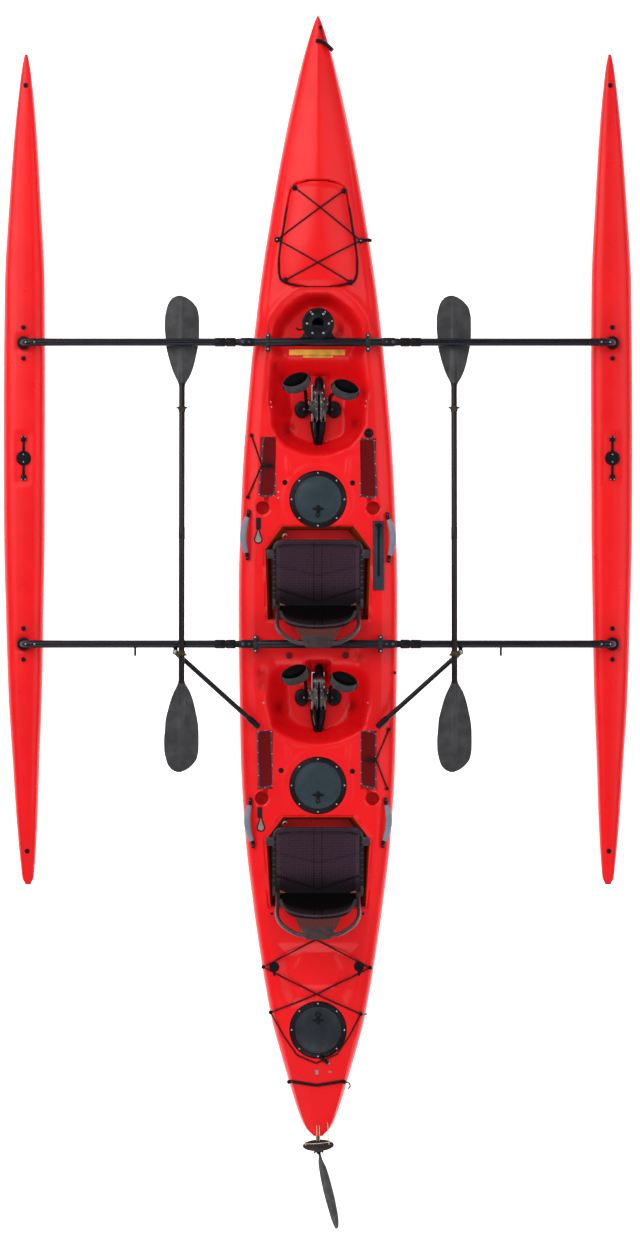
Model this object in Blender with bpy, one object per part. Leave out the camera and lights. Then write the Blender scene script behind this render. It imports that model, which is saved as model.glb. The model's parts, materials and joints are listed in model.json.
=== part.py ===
"""A tandem pedal and sail trimaran: a decked main hull with two outriggers on folding arms.

Metres. +X is starboard, +Y the bow and +Z up. The origin is amidships on the centre line, at the waterline.
Pieces are modelled where they sit afloat, with the arms spread, and each moving piece keeps its
origin on its own pivot.
"""

import math

import bmesh
import bpy
from mathutils import Matrix, Vector

# Clearances
TOUCH = 0.0003
RUNNING = 0.0005
HUB_GAP = 0.0008

# Main hull
HULL_STERN = -2.825
# Half beam along the hull, from stern to bow
HALF_BEAM = [
    (-2.825, 0.022), (-2.79, 0.060), (-2.704, 0.096), (-2.543, 0.149), (-2.391, 0.196), (-2.24, 0.236),
    (-1.937, 0.290), (-1.635, 0.333), (-1.332, 0.368), (-0.878, 0.3935), (-0.12, 0.4035), (0.484, 0.385),
    (0.938, 0.351), (1.392, 0.303), (1.846, 0.235), (2.30, 0.150), (2.603, 0.079), (2.734, 0.040),
    (2.795, 0.018), (2.82, 0.006),
]
SHEER = [(-2.825, 0.190), (-1.6, 0.195), (0.0, 0.205), (1.4, 0.235), (2.82, 0.285)]
KEEL = [
    (-2.825, 0.03), (-2.76, -0.055), (-2.3, -0.110), (-1.0, -0.150), (0.5, -0.155), (1.8, -0.125),
    (2.5, -0.075), (2.68, -0.03), (2.77, 0.06), (2.82, 0.19),
]
DECK_CROWN = [
    (-2.825, 0.010), (-1.9, 0.018), (-1.4, 0.010), (0.9, 0.010), (1.36, 0.035), (1.7, 0.075), (2.4, 0.05),
    (2.82, 0.01),
]
GUNWALE_SHARE = 0.86
WELL_SHARE = 0.91
DECK_RISE = 0.010
FOOT_FLOOR = 0.045
SEAT_FLOOR = 0.065
STEP_FLOOR = 0.180
CARGO_DROP = 0.030
WALL_LEAN = 0.030
# Wells from bow to stern: station, half width at the top, floor height, or None where the deck is whole
WELLS = [
    (2.82, 0.20, None), (1.425, 0.06, None), (1.405, 0.075, 0.215), (1.385, 0.115, 0.190),
    (1.36, 0.160, STEP_FLOOR), (1.32, 0.205, STEP_FLOOR), (1.27, 0.228, STEP_FLOOR),
    (1.20, 0.235, STEP_FLOOR), (1.110, 0.237, STEP_FLOOR),
    (1.060, 0.245, 0.080), (1.034, 0.250, FOOT_FLOOR), (0.96, 0.256, FOOT_FLOOR), (0.72, 0.245, FOOT_FLOOR),
    (0.650, 0.205, FOOT_FLOOR), (0.628, 0.178, 0.110), (0.605, 0.150, None), (0.268, 0.172, None),
    (0.248, 0.182, 0.120), (0.232, 0.197, SEAT_FLOOR), (0.138, 0.274, SEAT_FLOOR),
    (-0.225, 0.262, SEAT_FLOOR), (-0.272, 0.257, SEAT_FLOOR), (-0.294, 0.252, None), (-0.388, 0.250, None),
    (-0.397, 0.255, STEP_FLOOR), (-0.420, 0.262, STEP_FLOOR), (-0.430, 0.266, 0.090),
    (-0.440, 0.270, FOOT_FLOOR),
    (-0.52, 0.277, FOOT_FLOOR), (-0.725, 0.266, FOOT_FLOOR), (-0.812, 0.210, FOOT_FLOOR),
    (-0.834, 0.180, 0.110), (-0.856, 0.160, None),
    (-1.198, 0.170, None), (-1.218, 0.182, 0.120), (-1.236, 0.197, SEAT_FLOOR), (-1.33, 0.272, SEAT_FLOOR),
    (-1.60, 0.256, SEAT_FLOOR), (-1.775, 0.235, SEAT_FLOOR), (-1.800, 0.228, None), (-1.862, 0.205, None),
    (-1.885, 0.200, "cargo"), (-2.155, 0.160, "cargo"), (-2.185, 0.150, None), (-2.825, 0.10, None),
]
PLAIN_STATIONS = [
    2.795, 2.734, 2.62, 2.46, 2.26, 2.06, 1.86, 1.66, 1.50, 0.86, 0.45, 0.02, -0.62, -1.02, -1.46, -2.02,
    -2.36, -2.52, -2.66, -2.75, -2.79,
]

# Crossbars and folding arms
BAR_HEIGHT = 0.310
FRONT_BAR_Y = 1.177
BAR_SPACING = 1.520
REAR_BAR_Y = FRONT_BAR_Y - BAR_SPACING
BAR_RADIUS = 0.0212
ARM_RADIUS = 0.0195
SLEEVE_RADIUS = 0.0225
KNUCKLE_X = 0.378
ARM_LENGTH = 1.109
AMA_X = KNUCKLE_X + ARM_LENGTH
ELBOW_RADIUS = 0.050
TONGUE_HALF = 0.0135
EAR_THICK = 0.010
EAR_RADIUS = 0.022
CLAMP_X = {FRONT_BAR_Y: 0.2525, REAR_BAR_Y: 0.316}
CLAMP_HALF = (0.012, 0.044)

# Outrigger hulls
AMA_TOP = 0.235
AMA_SEAT = 0.230
AMA_HALF_BEAM = [
    (-1.559, 0.012), (-1.53, 0.028), (-1.47, 0.035), (-1.38, 0.043), (-1.18, 0.056), (-0.97, 0.066),
    (-0.57, 0.086), (-0.16, 0.096), (0.24, 0.1035), (0.87, 0.105), (1.47, 0.101), (1.87, 0.081),
    (2.28, 0.053), (2.48, 0.033), (2.58, 0.020), (2.638, 0.008),
]
AMA_KEEL = [
    (-1.559, 0.15), (-1.45, 0.08), (-1.0, 0.005), (0.4, -0.030), (1.6, -0.005), (2.4, 0.06), (2.6, 0.11),
    (2.638, 0.16),
]
AMA_DECK = [(-1.559, 0.205), (-1.1, 0.230), (-0.5, AMA_TOP), (1.4, AMA_TOP), (2.2, 0.228), (2.638, 0.205)]
AMA_TOE_IN = [(-1.559, 0.020), (-0.6, 0.005), (0.4, 0.0), (1.6, 0.003), (2.638, 0.011)]
COLLAR_RADIUS = 0.033
COLLAR_TOP = 0.262
PORT_Y = 0.595
PORT_RADIUS = 0.037

# Braces and paddles, carried by the rear arms
BRACE_ON_ARM = (0.340, -0.040)
LUG_DROP = 0.025
LUG_THICK = 0.008
BRACE_BALL = (0.307, -0.755)
BRACE_RADIUS = 0.0125
BRACE_BALL_TOP = 0.2525
PADDLE_ALONG_ARM = 0.308
PADDLE_BOW = 1.4126
PADDLE_STERN = -0.982
PADDLE_SHAFT = 0.0137
PADDLE_FRONT_Z = 0.262
PADDLE_LIFT = 0.0060
PADDLE_REAR_Z = BAR_HEIGHT + ARM_RADIUS + PADDLE_SHAFT + PADDLE_LIFT
BLADE_LENGTH = 0.474
BLADE_WIDTH = 0.174

# Pedal drives
DRIVES = {"front": 0.8475, "rear": -0.6155}
CRANK_AXIS_Z = 0.118
CRANK_LENGTH = 0.340
CRANK_LEAN = {-1: 20.2, 1: 14.1}
PEDAL_X = 0.1205
# Both pedals of a drive stand a little to starboard
PEDAL_SHIFT = {"front": 0.0145, "rear": 0.0070}
PEDAL_HALF = (0.074, 0.052)
PEDAL_TILT = 30.0
PEDAL_SPLAY = 20.0
STRAP_RISE = 0.058
FIN_AXIS_Z = -0.180
FIN_LENGTH = 0.400
FIN_REST = 12.2
SHAFT_RADIUS = 0.006
SLOT_HALF = (0.042, 0.155)
# The drive's spine from bow to stern: station from the crank, half width, low and high
SPINE_SECTIONS = [
    (0.168, 0.014, 0.052, 0.078), (0.125, 0.020, 0.050, 0.100), (0.095, 0.030, 0.050, 0.132),
    (0.045, 0.043, 0.050, 0.150), (-0.030, 0.043, 0.050, 0.150), (-0.080, 0.033, 0.050, 0.128),
    (-0.105, 0.020, 0.050, 0.098), (-0.190, 0.012, 0.052, 0.078),
]

# Deck fittings
MAST_Y = 1.270
MAST_BORE = 0.027
MAST_FLANGE = 0.0700
ROUND_HATCHES = {"front": 0.3875, "middle": -1.058, "stern": -2.294}
HATCH_RADIUS = 0.144
HATCH_LID_RADIUS = 0.120
HATCH_RING_THICK = 0.012
CUP_HOLDERS = [(-0.280, 0.345), (0.279, 0.344), (-0.285, -1.1225), (0.276, -1.125)]
CUP_RADIUS = 0.034
CUP_DEPTH = 0.095
POCKETS = {
    "front_left": (-0.252, 0.556, 0.074), "front_right": (0.253, 0.548, 0.076),
    "rear_left": (-0.267, -0.928, 0.072), "rear_right": (0.256, -0.930, 0.077),
}
POCKET_LENGTH = 0.292
POCKET_THICK = 0.014
HANDLES = {
    "front_left": (-1, 0.208), "front_right": (1, 0.195),
    "rear_left": (-1, -1.248), "rear_right": (1, -1.247),
}
HANDLE_SPAN = 0.218
HANDLE_ROOT = 0.022
HANDLE_BOW = 0.025
STEERING_PLATE = (0.3065, 0.103, 0.027, 0.174)
BOW_HATCH = [
    (1.985, 0.055), (1.972, 0.105), (1.945, 0.134), (1.86, 0.151), (1.77, 0.165), (1.68, 0.181),
    (1.60, 0.191), (1.53, 0.190), (1.490, 0.176), (1.468, 0.120), (1.460, 0.060),
]
BOW_HATCH_FLOOR = 0.262
LID_HINGE = (1.990, 0.338)

# Seats
SEATS = {"front": -0.151, "rear": -1.604}
SEAT_HALF = 0.222
SEAT_DEPTH = 0.325
SEAT_HEIGHT = 0.190
SEAT_HINGE_Z = 0.220
SEAT_TUBE = 0.011
BACK_LEAN = 27.0

# Rudder
RUDDER_PIN_Y = -2.845
RUDDER_STEER_REST = 2.5
RUDDER_TILT = 78.0
RUDDER_AXIS_LEAN = 12.0
RUDDER_SPAN = 0.396
RUDDER_CHORD = 0.130
KICK_PIVOT = (0.0, -2.918, 0.125)
KICK_ARM = 0.021
YOKE_Z = (0.217, 0.231)


def clear_scene():
    for item in list(bpy.data.objects):
        bpy.data.objects.remove(item)


def paint(name, color, roughness=0.5, metallic=0.0):
    material = bpy.data.materials.get(name) or bpy.data.materials.new(name)
    material.use_nodes = True
    shader = material.node_tree.nodes["Principled BSDF"]
    shader.inputs["Base Color"].default_value = (*color, 1.0)
    shader.inputs["Roughness"].default_value = roughness
    shader.inputs["Metallic"].default_value = metallic
    return material


def hull_red():
    return paint("hull_red", (0.85, 0.012, 0.018), 0.3)


def black_tube():
    return paint("black_tube", (0.012, 0.014, 0.022), 0.3, 0.4)


def black_plastic():
    return paint("black_plastic", (0.02, 0.02, 0.023), 0.5)


def slate_plastic():
    return paint("slate_plastic", (0.05, 0.075, 0.1), 0.5)


def grip_grey():
    return paint("grip_grey", (0.16, 0.22, 0.28), 0.6)


def seat_mesh():
    return paint("seat_mesh", (0.025, 0.014, 0.022), 0.9)


def seat_tube_grey():
    return paint("seat_tube_grey", (0.06, 0.045, 0.052), 0.45)


def pocket_mesh():
    return paint("pocket_mesh", (0.16, 0.01, 0.014), 0.8)


def drive_metal():
    return paint("drive_metal", (0.3, 0.28, 0.28), 0.35, 0.8)


def pedal_grey():
    return paint("pedal_grey", (0.06, 0.06, 0.065), 0.6)


def fin_rubber():
    return paint("fin_rubber", (0.03, 0.03, 0.03), 0.55)


def blade_grey():
    return paint("blade_grey", (0.05, 0.05, 0.052), 0.35)


def curve_through(points):
    """Returns a smooth function through (station, value) points that never overshoots them."""
    points = sorted(points)
    xs = [point[0] for point in points]
    values = [point[1] for point in points]
    slopes = [(values[i + 1] - values[i]) / (xs[i + 1] - xs[i]) for i in range(len(xs) - 1)]
    tangents = [slopes[0]]
    for before, after in zip(slopes, slopes[1:]):
        same_way = before * after > 0
        tangents.append(2 * before * after / (before + after) if same_way else 0.0)
    tangents.append(slopes[-1])

    def value(x):
        x = min(max(x, xs[0]), xs[-1])
        i = max(index for index in range(len(xs) - 1) if xs[index] <= x)
        width = xs[i + 1] - xs[i]
        t = (x - xs[i]) / width
        start = values[i] * (1 + 2 * t) * (1 - t) ** 2 + tangents[i] * width * t * (1 - t) ** 2
        end = values[i + 1] * t * t * (3 - 2 * t) + tangents[i + 1] * width * t * t * (t - 1)
        return start + end

    return value


half_beam = curve_through(HALF_BEAM)
sheer = curve_through(SHEER)
keel = curve_through(KEEL)
deck_crown = curve_through(DECK_CROWN)


def deck_level(y):
    """Height of the deck's outer edge."""
    return sheer(y) + DECK_RISE


def deck_height(x, y):
    """Height of the whole deck, crowned between the gunwales."""
    gunwale = GUNWALE_SHARE * half_beam(y)
    share = min(1.0, abs(x) / gunwale)
    return deck_level(y) + deck_crown(y) * (1 - share * share)


def well_at(y):
    """Half width at the top and floor height of the wells at a station."""
    for (y_a, half_a, floor_a), (y_b, half_b, floor_b) in zip(WELLS, WELLS[1:]):
        if y_b <= y <= y_a:
            t = (y_a - y) / (y_a - y_b)
            ends = []
            for floor, station in ((floor_a, y_a), (floor_b, y_b)):
                if floor == "cargo":
                    floor = deck_level(station) - CARGO_DROP
                ends.append(floor)
            if y == y_b:
                return half_b, ends[1]
            floor = None
            if None not in ends:
                floor = ends[0] + (ends[1] - ends[0]) * t
            return half_a + (half_b - half_a) * t, floor
    raise ValueError("station outside the hull")


def hull_half_section(y):
    """Points (x, z) from the middle of the deck out over the gunwale and down to the keel."""
    beam = half_beam(y)
    gunwale = GUNWALE_SHARE * beam
    top_half, floor = well_at(y)
    top_half = min(top_half, WELL_SHARE * gunwale)
    lean = min(WALL_LEAN, 0.3 * top_half)
    points = []
    for share in (0.0, 0.5, 1.0):
        x = share * (top_half - lean)
        points.append((x, deck_height(x, y) if floor is None else floor))
    middle = 0.5 * (top_half + gunwale)
    for x in (top_half, middle, gunwale):
        points.append((x, deck_height(x, y)))
    shoulder = sheer(y) - 0.07
    if shoulder < keel(y) + 0.02:
        shoulder = 0.5 * (sheer(y) + keel(y))
    depth = shoulder - keel(y)
    points.append((0.955 * beam, 0.5 * (deck_level(y) + shoulder) + 0.015))
    points.append((beam, shoulder))
    for share_x, share_z in ((0.95, 0.38), (0.80, 0.70), (0.45, 0.93), (0.0, 1.0)):
        points.append((share_x * beam, shoulder - share_z * depth))
    return points


def ring_from_half(half, y, centre=0.0):
    """Closes a half section into a ring: starboard side down to the keel, then back up the port side."""
    starboard = [Vector((centre + x, y, z)) for x, z in half]
    port = [Vector((centre - x, y, z)) for x, z in reversed(half[1:-1])]
    return starboard + port


def add_object(name, bm, material, smooth=False):
    bmesh.ops.recalc_face_normals(bm, faces=bm.faces)
    mesh = bpy.data.meshes.new(name)
    bm.to_mesh(mesh)
    bm.free()
    mesh.materials.append(material)
    item = bpy.data.objects.new(name, mesh)
    bpy.context.scene.collection.objects.link(item)
    if smooth:
        mesh.shade_smooth()
        mesh.set_sharp_from_angle(angle=math.radians(35))
    return item


def loft(name, rings, material, smooth=True):
    """Skins a row of rings that have the same number of points, and closes both ends."""
    bm = bmesh.new()
    rows = [[bm.verts.new(point) for point in ring] for ring in rings]
    count = len(rings[0])
    for row, following in zip(rows, rows[1:]):
        for i in range(count):
            j = (i + 1) % count
            bm.faces.new((row[i], row[j], following[j], following[i]))
    bm.faces.new(rows[0])
    bm.faces.new(rows[-1])
    bmesh.ops.triangulate(bm, faces=bm.faces)
    return add_object(name, bm, material, smooth)


def prism(name, outline, low, high, material):
    """An upright prism on an outline of (x, y) points."""
    rings = [[Vector((x, y, z)) for x, y in outline] for z in (low, high)]
    return loft(name, rings, material, smooth=False)


def box(name, low, high, material):
    outline = [(low[0], low[1]), (high[0], low[1]), (high[0], high[1]), (low[0], high[1])]
    return prism(name, outline, low[2], high[2], material)


def rod(name, start, end, radius, material, sides=10, end_radius=None):
    """A straight round rod between two points."""
    start = Vector(start)
    end = Vector(end)
    bm = bmesh.new()
    bmesh.ops.create_cone(
        bm, cap_ends=True, segments=sides, radius1=radius, radius2=end_radius or radius,
        depth=(end - start).length,
    )
    turn = Vector((0, 0, 1)).rotation_difference(end - start).to_matrix().to_4x4()
    bmesh.ops.transform(bm, matrix=Matrix.Translation((start + end) / 2) @ turn, verts=bm.verts)
    return add_object(name, bm, material, smooth=True)


def tube(name, points, radius, material, resolution=2):
    """A bent tube along points, with closed ends."""
    curve = bpy.data.curves.new(name, "CURVE")
    curve.dimensions = "3D"
    curve.bevel_depth = radius
    curve.bevel_resolution = resolution
    curve.use_fill_caps = True
    spline = curve.splines.new("POLY")
    spline.points.add(len(points) - 1)
    for spot, point in zip(spline.points, points):
        spot.co = (*point, 1.0)
    curve.materials.append(material)
    item = bpy.data.objects.new(name, curve)
    bpy.context.scene.collection.objects.link(item)
    return as_mesh(item)


def turned(name, profile, material, segments=24):
    """Turns an (r, z) profile about Z; a profile that starts and ends off the axis makes a ring."""
    bm = bmesh.new()
    verts = [bm.verts.new((r, 0, z)) for r, z in profile]
    edges = [bm.edges.new((a, b)) for a, b in zip(verts, verts[1:])]
    if profile[0][0] > 0 and profile[-1][0] > 0:
        edges.append(bm.edges.new((verts[-1], verts[0])))
    bmesh.ops.spin(
        bm, geom=verts + edges, cent=(0, 0, 0), axis=(0, 0, 1), angle=2 * math.pi, steps=segments,
        use_merge=True,
    )
    bmesh.ops.remove_doubles(bm, verts=bm.verts, dist=1e-6)
    return add_object(name, bm, material, smooth=True)


def as_mesh(item):
    """Replaces an object by its evaluated mesh, with its modifiers applied."""
    bpy.context.view_layer.update()
    graph = bpy.context.evaluated_depsgraph_get()
    mesh = bpy.data.meshes.new_from_object(item.evaluated_get(graph))
    name = item.name
    bpy.data.objects.remove(item)
    made = bpy.data.objects.new(name, mesh)
    bpy.context.scene.collection.objects.link(made)
    return made


def combine(item, others, operation):
    """Joins other closed objects to an object, or cuts them out of it, and removes them."""
    for other in others:
        step = item.modifiers.new("Combine", "BOOLEAN")
        step.operation = operation
        step.solver = "EXACT"
        step.object = other
    name = item.name
    made = as_mesh(item)
    for other in others:
        bpy.data.objects.remove(other)
    made.name = name
    made.data.shade_smooth()
    made.data.set_sharp_from_angle(angle=math.radians(35))
    return made


def fuse(name, pieces, material):
    made = combine(pieces[0], pieces[1:], "UNION")
    made.name = name
    made.data.materials.clear()
    made.data.materials.append(material)
    return made


def place(item, matrix):
    item.data.transform(matrix)
    return item


def pivot_at(item, point):
    """Moves an object's origin to a pivot without moving the object."""
    item.data.transform(Matrix.Translation(-Vector(point)))
    item.location = point
    return item


def turn_about(point, axis, degrees):
    """The matrix of a turn about an axis through a point."""
    there = Matrix.Translation(Vector(point))
    return there @ Matrix.Rotation(math.radians(degrees), 4, Vector(axis)) @ there.inverted()


def arc(centre, radius, start, end, steps):
    """Points (x, y) along an arc, with angles in degrees."""
    angles = [math.radians(start + (end - start) * i / steps) for i in range(steps + 1)]
    return [(centre[0] + radius * math.cos(a), centre[1] + radius * math.sin(a)) for a in angles]


def side_name(side):
    return "left" if side < 0 else "right"


# Main hull

def bow_hatch_outline(spread=0.0):
    """The bow hatch's outline, widened all round by spread."""
    starboard = [(half + spread, y) for y, half in BOW_HATCH]
    starboard[0] = (BOW_HATCH[0][1], BOW_HATCH[0][0] + spread)
    starboard[-1] = (BOW_HATCH[-1][1], BOW_HATCH[-1][0] - spread)
    port = [(-x, y) for x, y in reversed(starboard)]
    return starboard + port


def hull_shell():
    stations = sorted({y for y, _, _ in WELLS} | set(PLAIN_STATIONS))
    rings = [ring_from_half(hull_half_section(y), y) for y in stations]
    return loft("hull", rings, hull_red())


def hull_cutters():
    """Slots, sockets, cups and the flat seats that the fittings stand on, none touching another."""
    red = hull_red()
    above = 0.5
    cutters = [prism("bow_hatch_cut", bow_hatch_outline(0.006), BOW_HATCH_FLOOR, above, red)]
    for end, y in DRIVES.items():
        half_x, half_y = SLOT_HALF
        cutters.append(box(f"slot_{end}", (-half_x, y - half_y, -0.3), (half_x, y + half_y, above), red))
    for end, y in ROUND_HATCHES.items():
        radius = HATCH_RADIUS + 0.004
        cutters.append(rod(f"hatch_seat_{end}", (0, y, hatch_seat(y)), (0, y, above), radius, red, sides=32))
    for x, y in CUP_HOLDERS:
        floor = deck_height(x, y) - CUP_DEPTH
        cutters.append(rod("cup", (x, y, floor), (x, y, above), CUP_RADIUS, red, sides=20))
    for bar_y in (FRONT_BAR_Y, REAR_BAR_Y):
        for side in (-1, 1):
            x = side * CLAMP_X[bar_y]
            low = (x - 0.014, bar_y - 0.046, clamp_seat(bar_y))
            high = (x + 0.014, bar_y + 0.046, above)
            cutters.append(box("clamp_seat", low, high, red))
    for name, (x, y, width) in POCKETS.items():
        low = (x - width / 2 - 0.002, y - POCKET_LENGTH / 2 - 0.002, pocket_seat(x, y))
        high = (x + width / 2 + 0.002, y + POCKET_LENGTH / 2 + 0.002, above)
        cutters.append(box("pocket_seat", low, high, red))
    for side, y in HANDLES.values():
        for step in (-0.5, 0.5):
            spot = handle_root(side, y, step)
            cutters.append(rod("handle_seat", spot, (spot[0], spot[1], above), HANDLE_ROOT + 0.001, red))
    x, y, half_x, half_y = STEERING_PLATE
    low = (x - half_x - 0.001, y - half_y - 0.001, plate_seat())
    cutters.append(box("plate_seat", low, (x + half_x + 0.001, y + half_y + 0.001, above), red))
    return cutters


def hatch_seat(y):
    return deck_level(y) - 0.002


def clamp_seat(bar_y):
    return deck_level(bar_y) - 0.002


def pocket_seat(x, y):
    return deck_level(y) - 0.012


def plate_seat():
    return deck_level(STEERING_PLATE[1]) - 0.003


def handle_root(side, y, step):
    """Where a carry handle's end stands: on the side deck, just inside the gunwale."""
    end = y + step * HANDLE_SPAN
    x = side * (GUNWALE_SHARE * half_beam(end) + 0.014)
    return (x, end, deck_level(end) - 0.006)


def brace_studs():
    studs = []
    for side in (-1, 1):
        x, y = side * BRACE_BALL[0], BRACE_BALL[1]
        studs.append(rod("brace_stud", (x, y, 0.17), (x, y, BRACE_BALL_TOP), 0.009, hull_red(), sides=10))
    return studs


def make_hull():
    hull = combine(hull_shell(), hull_cutters(), "DIFFERENCE")
    return fuse("hull", [hull] + brace_studs(), hull_red())


def make_bow_hatch_lid():
    """A crowned lid that lies in the recess of the foredeck and lifts from its aft edge."""
    rings = []
    for y, half in BOW_HATCH:
        bottom = [Vector((half * share, y, BOW_HATCH_FLOOR + TOUCH)) for share in (1, -1)]
        top = []
        for i in range(9):
            x = half * (-1 + 2 * i / 8)
            edge = abs(x) / half
            top.append(Vector((x, y, deck_height(x, y) + 0.014 - 0.012 * edge ** 6)))
        rings.append(bottom + top)
    return pivot_at(loft("bow_hatch_lid", rings, hull_red()), (0, *LID_HINGE))


# Fittings on the deck

def make_mast_step():
    """The black mast socket, bolted to the front crossbar by a flared plate."""
    base = STEP_FLOOR + TOUCH
    top = BAR_HEIGHT + 0.014
    socket_floor = base + 0.02
    profile = [
        (0, base), (MAST_FLANGE, base), (0.064, base + 0.012), (0.060, top - 0.02),
        (MAST_FLANGE, top - 0.014), (MAST_FLANGE, top - 0.002), (MAST_FLANGE - 0.002, top),
        (MAST_BORE, top), (MAST_BORE, socket_floor), (0, socket_floor),
    ]
    socket = turned("mast_socket", profile, black_plastic(), 24)
    place(socket, Matrix.Translation((0, MAST_Y, 0)))
    near = FRONT_BAR_Y + BAR_RADIUS + TOUCH
    outline = [(0.085, near), (0.085, near + 0.014), (0.060, MAST_Y - 0.035), (-0.060, MAST_Y - 0.035),
               (-0.085, near + 0.014), (-0.085, near)]
    plate = prism("mast_plate", outline, top - 0.019, top - 0.004, black_plastic())
    return fuse("mast_step", [socket, plate], black_plastic())


def make_round_hatch(end, y):
    seat = hatch_seat(y) + TOUCH
    inner = HATCH_LID_RADIUS
    outer = HATCH_RADIUS
    rim = seat + HATCH_RING_THICK
    bevel = 0.006
    shoulder = rim - bevel / 2
    ring_profile = [(outer, seat), (outer, shoulder), (outer - bevel, rim), (inner, rim), (inner, seat)]
    ring = turned(f"round_hatch_{end}_ring", ring_profile, black_plastic(), 28)
    place(ring, Matrix.Translation((0, y, 0)))
    edge = inner - 2 * RUNNING
    lid_profile = [(0, seat), (edge, seat), (edge, shoulder), (edge - bevel, rim + 0.002), (0, rim + 0.004)]
    lid = turned(f"round_hatch_{end}_lid", lid_profile, slate_plastic(), 28)
    place(lid, Matrix.Translation((0, y, 0)))


def make_pocket(name, x, y, width):
    seat = pocket_seat(x, y) + TOUCH
    low = (x - width / 2, y - POCKET_LENGTH / 2, seat)
    high = (x + width / 2, y + POCKET_LENGTH / 2, seat + POCKET_THICK)
    return box(f"mesh_pocket_{name}", low, high, pocket_mesh())


def make_carry_handle(name, side, y):
    """A bowed grip that stands off the gunwale between two feet."""
    feet = []
    foot_radius = 0.8 * HANDLE_ROOT
    for step in (-0.5, 0.5):
        x, end, seat = handle_root(side, y, step)
        ends = (x, end, seat + TOUCH), (x, end, seat + 0.026)
        feet.append(rod("handle_foot", *ends, foot_radius, grip_grey(), 10))
    start = Vector(handle_root(side, y, -0.5))
    finish = Vector(handle_root(side, y, 0.5))
    rings = []
    steps = 8
    for i in range(steps + 1):
        t = i / steps
        bow = math.sin(math.pi * t)
        centre = start.lerp(finish, t) + Vector((side * HANDLE_BOW * bow, 0, 0.017 + 0.020 * bow))
        half_wide = 0.009 + 0.007 * bow
        half_high = 0.006 + 0.003 * bow
        ring = [centre + Vector((half_wide * math.cos(a), 0, half_high * math.sin(a)))
                for a in (2 * math.pi * k / 8 for k in range(8))]
        rings.append(ring)
    grip = loft("handle_grip", rings, grip_grey())
    return fuse(f"carry_handle_{name}", [grip] + feet, grip_grey())


def make_steering_plate():
    """The long plate beside the front seat, with the steering lever's knob at its forward end."""
    x, y, half_x, half_y = STEERING_PLATE
    seat = plate_seat() + TOUCH
    slate = slate_plastic()
    plate = box("plate", (x - half_x, y - half_y, seat), (x + half_x, y + half_y, seat + 0.012), slate)
    knob_y = y + half_y - 0.022
    stem = rod("knob_stem", (x, knob_y, seat + 0.006), (x, knob_y, seat + 0.035), 0.007, slate, 10)
    knob = rod("knob", (x, knob_y, seat + 0.030), (x, knob_y, seat + 0.046), 0.013, slate, 14)
    return fuse("steering_handle", [plate, stem, knob], slate)


# Crossbars, arms, outriggers, braces and paddles

def make_crossbar(name, bar_y):
    """A tube across the deck in two clamps, with a forked knuckle at each end."""
    black = black_tube()
    inner = KNUCKLE_X - 0.030
    parts = [rod("bar", (-inner, bar_y, BAR_HEIGHT), (inner, bar_y, BAR_HEIGHT), BAR_RADIUS, black, 12)]
    seat = clamp_seat(bar_y) + TOUCH
    for side in (-1, 1):
        inboard = side * CLAMP_X[bar_y] - CLAMP_HALF[0]
        outboard = side * CLAMP_X[bar_y] + CLAMP_HALF[0]
        low = (inboard, bar_y - CLAMP_HALF[1], seat)
        high = (outboard, bar_y + CLAMP_HALF[1], BAR_HEIGHT - 0.004)
        parts.append(box("clamp_base", low, high, black))
        cap_ends = (inboard, bar_y, BAR_HEIGHT), (outboard, bar_y, BAR_HEIGHT)
        cap = rod("clamp_cap", *cap_ends, BAR_RADIUS + 0.006, black, 12)
        parts.append(cap)
        for level in (-1, 1):
            near = BAR_HEIGHT + level * (TONGUE_HALF + RUNNING)
            far = near + level * EAR_THICK
            turn = (-90, 90) if side > 0 else (90, 270)
            tip = arc((side * KNUCKLE_X, bar_y), EAR_RADIUS, *turn, 6)
            root_x = side * (inner - 0.030)
            outline = tip + [(root_x, tip[-1][1]), (root_x, tip[0][1])]
            parts.append(prism("ear", outline, min(near, far), max(near, far), black))
        web_low = min(side * (inner - 0.030), side * (KNUCKLE_X - 0.0235))
        web_high = max(side * (inner - 0.030), side * (KNUCKLE_X - 0.0235))
        thick = TONGUE_HALF + RUNNING + EAR_THICK / 2
        parts.append(box("web", (web_low, bar_y - 0.0195, BAR_HEIGHT - thick),
                         (web_high, bar_y + 0.0195, BAR_HEIGHT + thick), black))
        top = BAR_HEIGHT + TONGUE_HALF + RUNNING + EAR_THICK
        x = side * KNUCKLE_X
        parts.append(rod("pivot_bolt", (x, bar_y, top - 0.004), (x, bar_y, top + 0.006), 0.009, black, 8))
    return fuse(name, parts, black)


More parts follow.
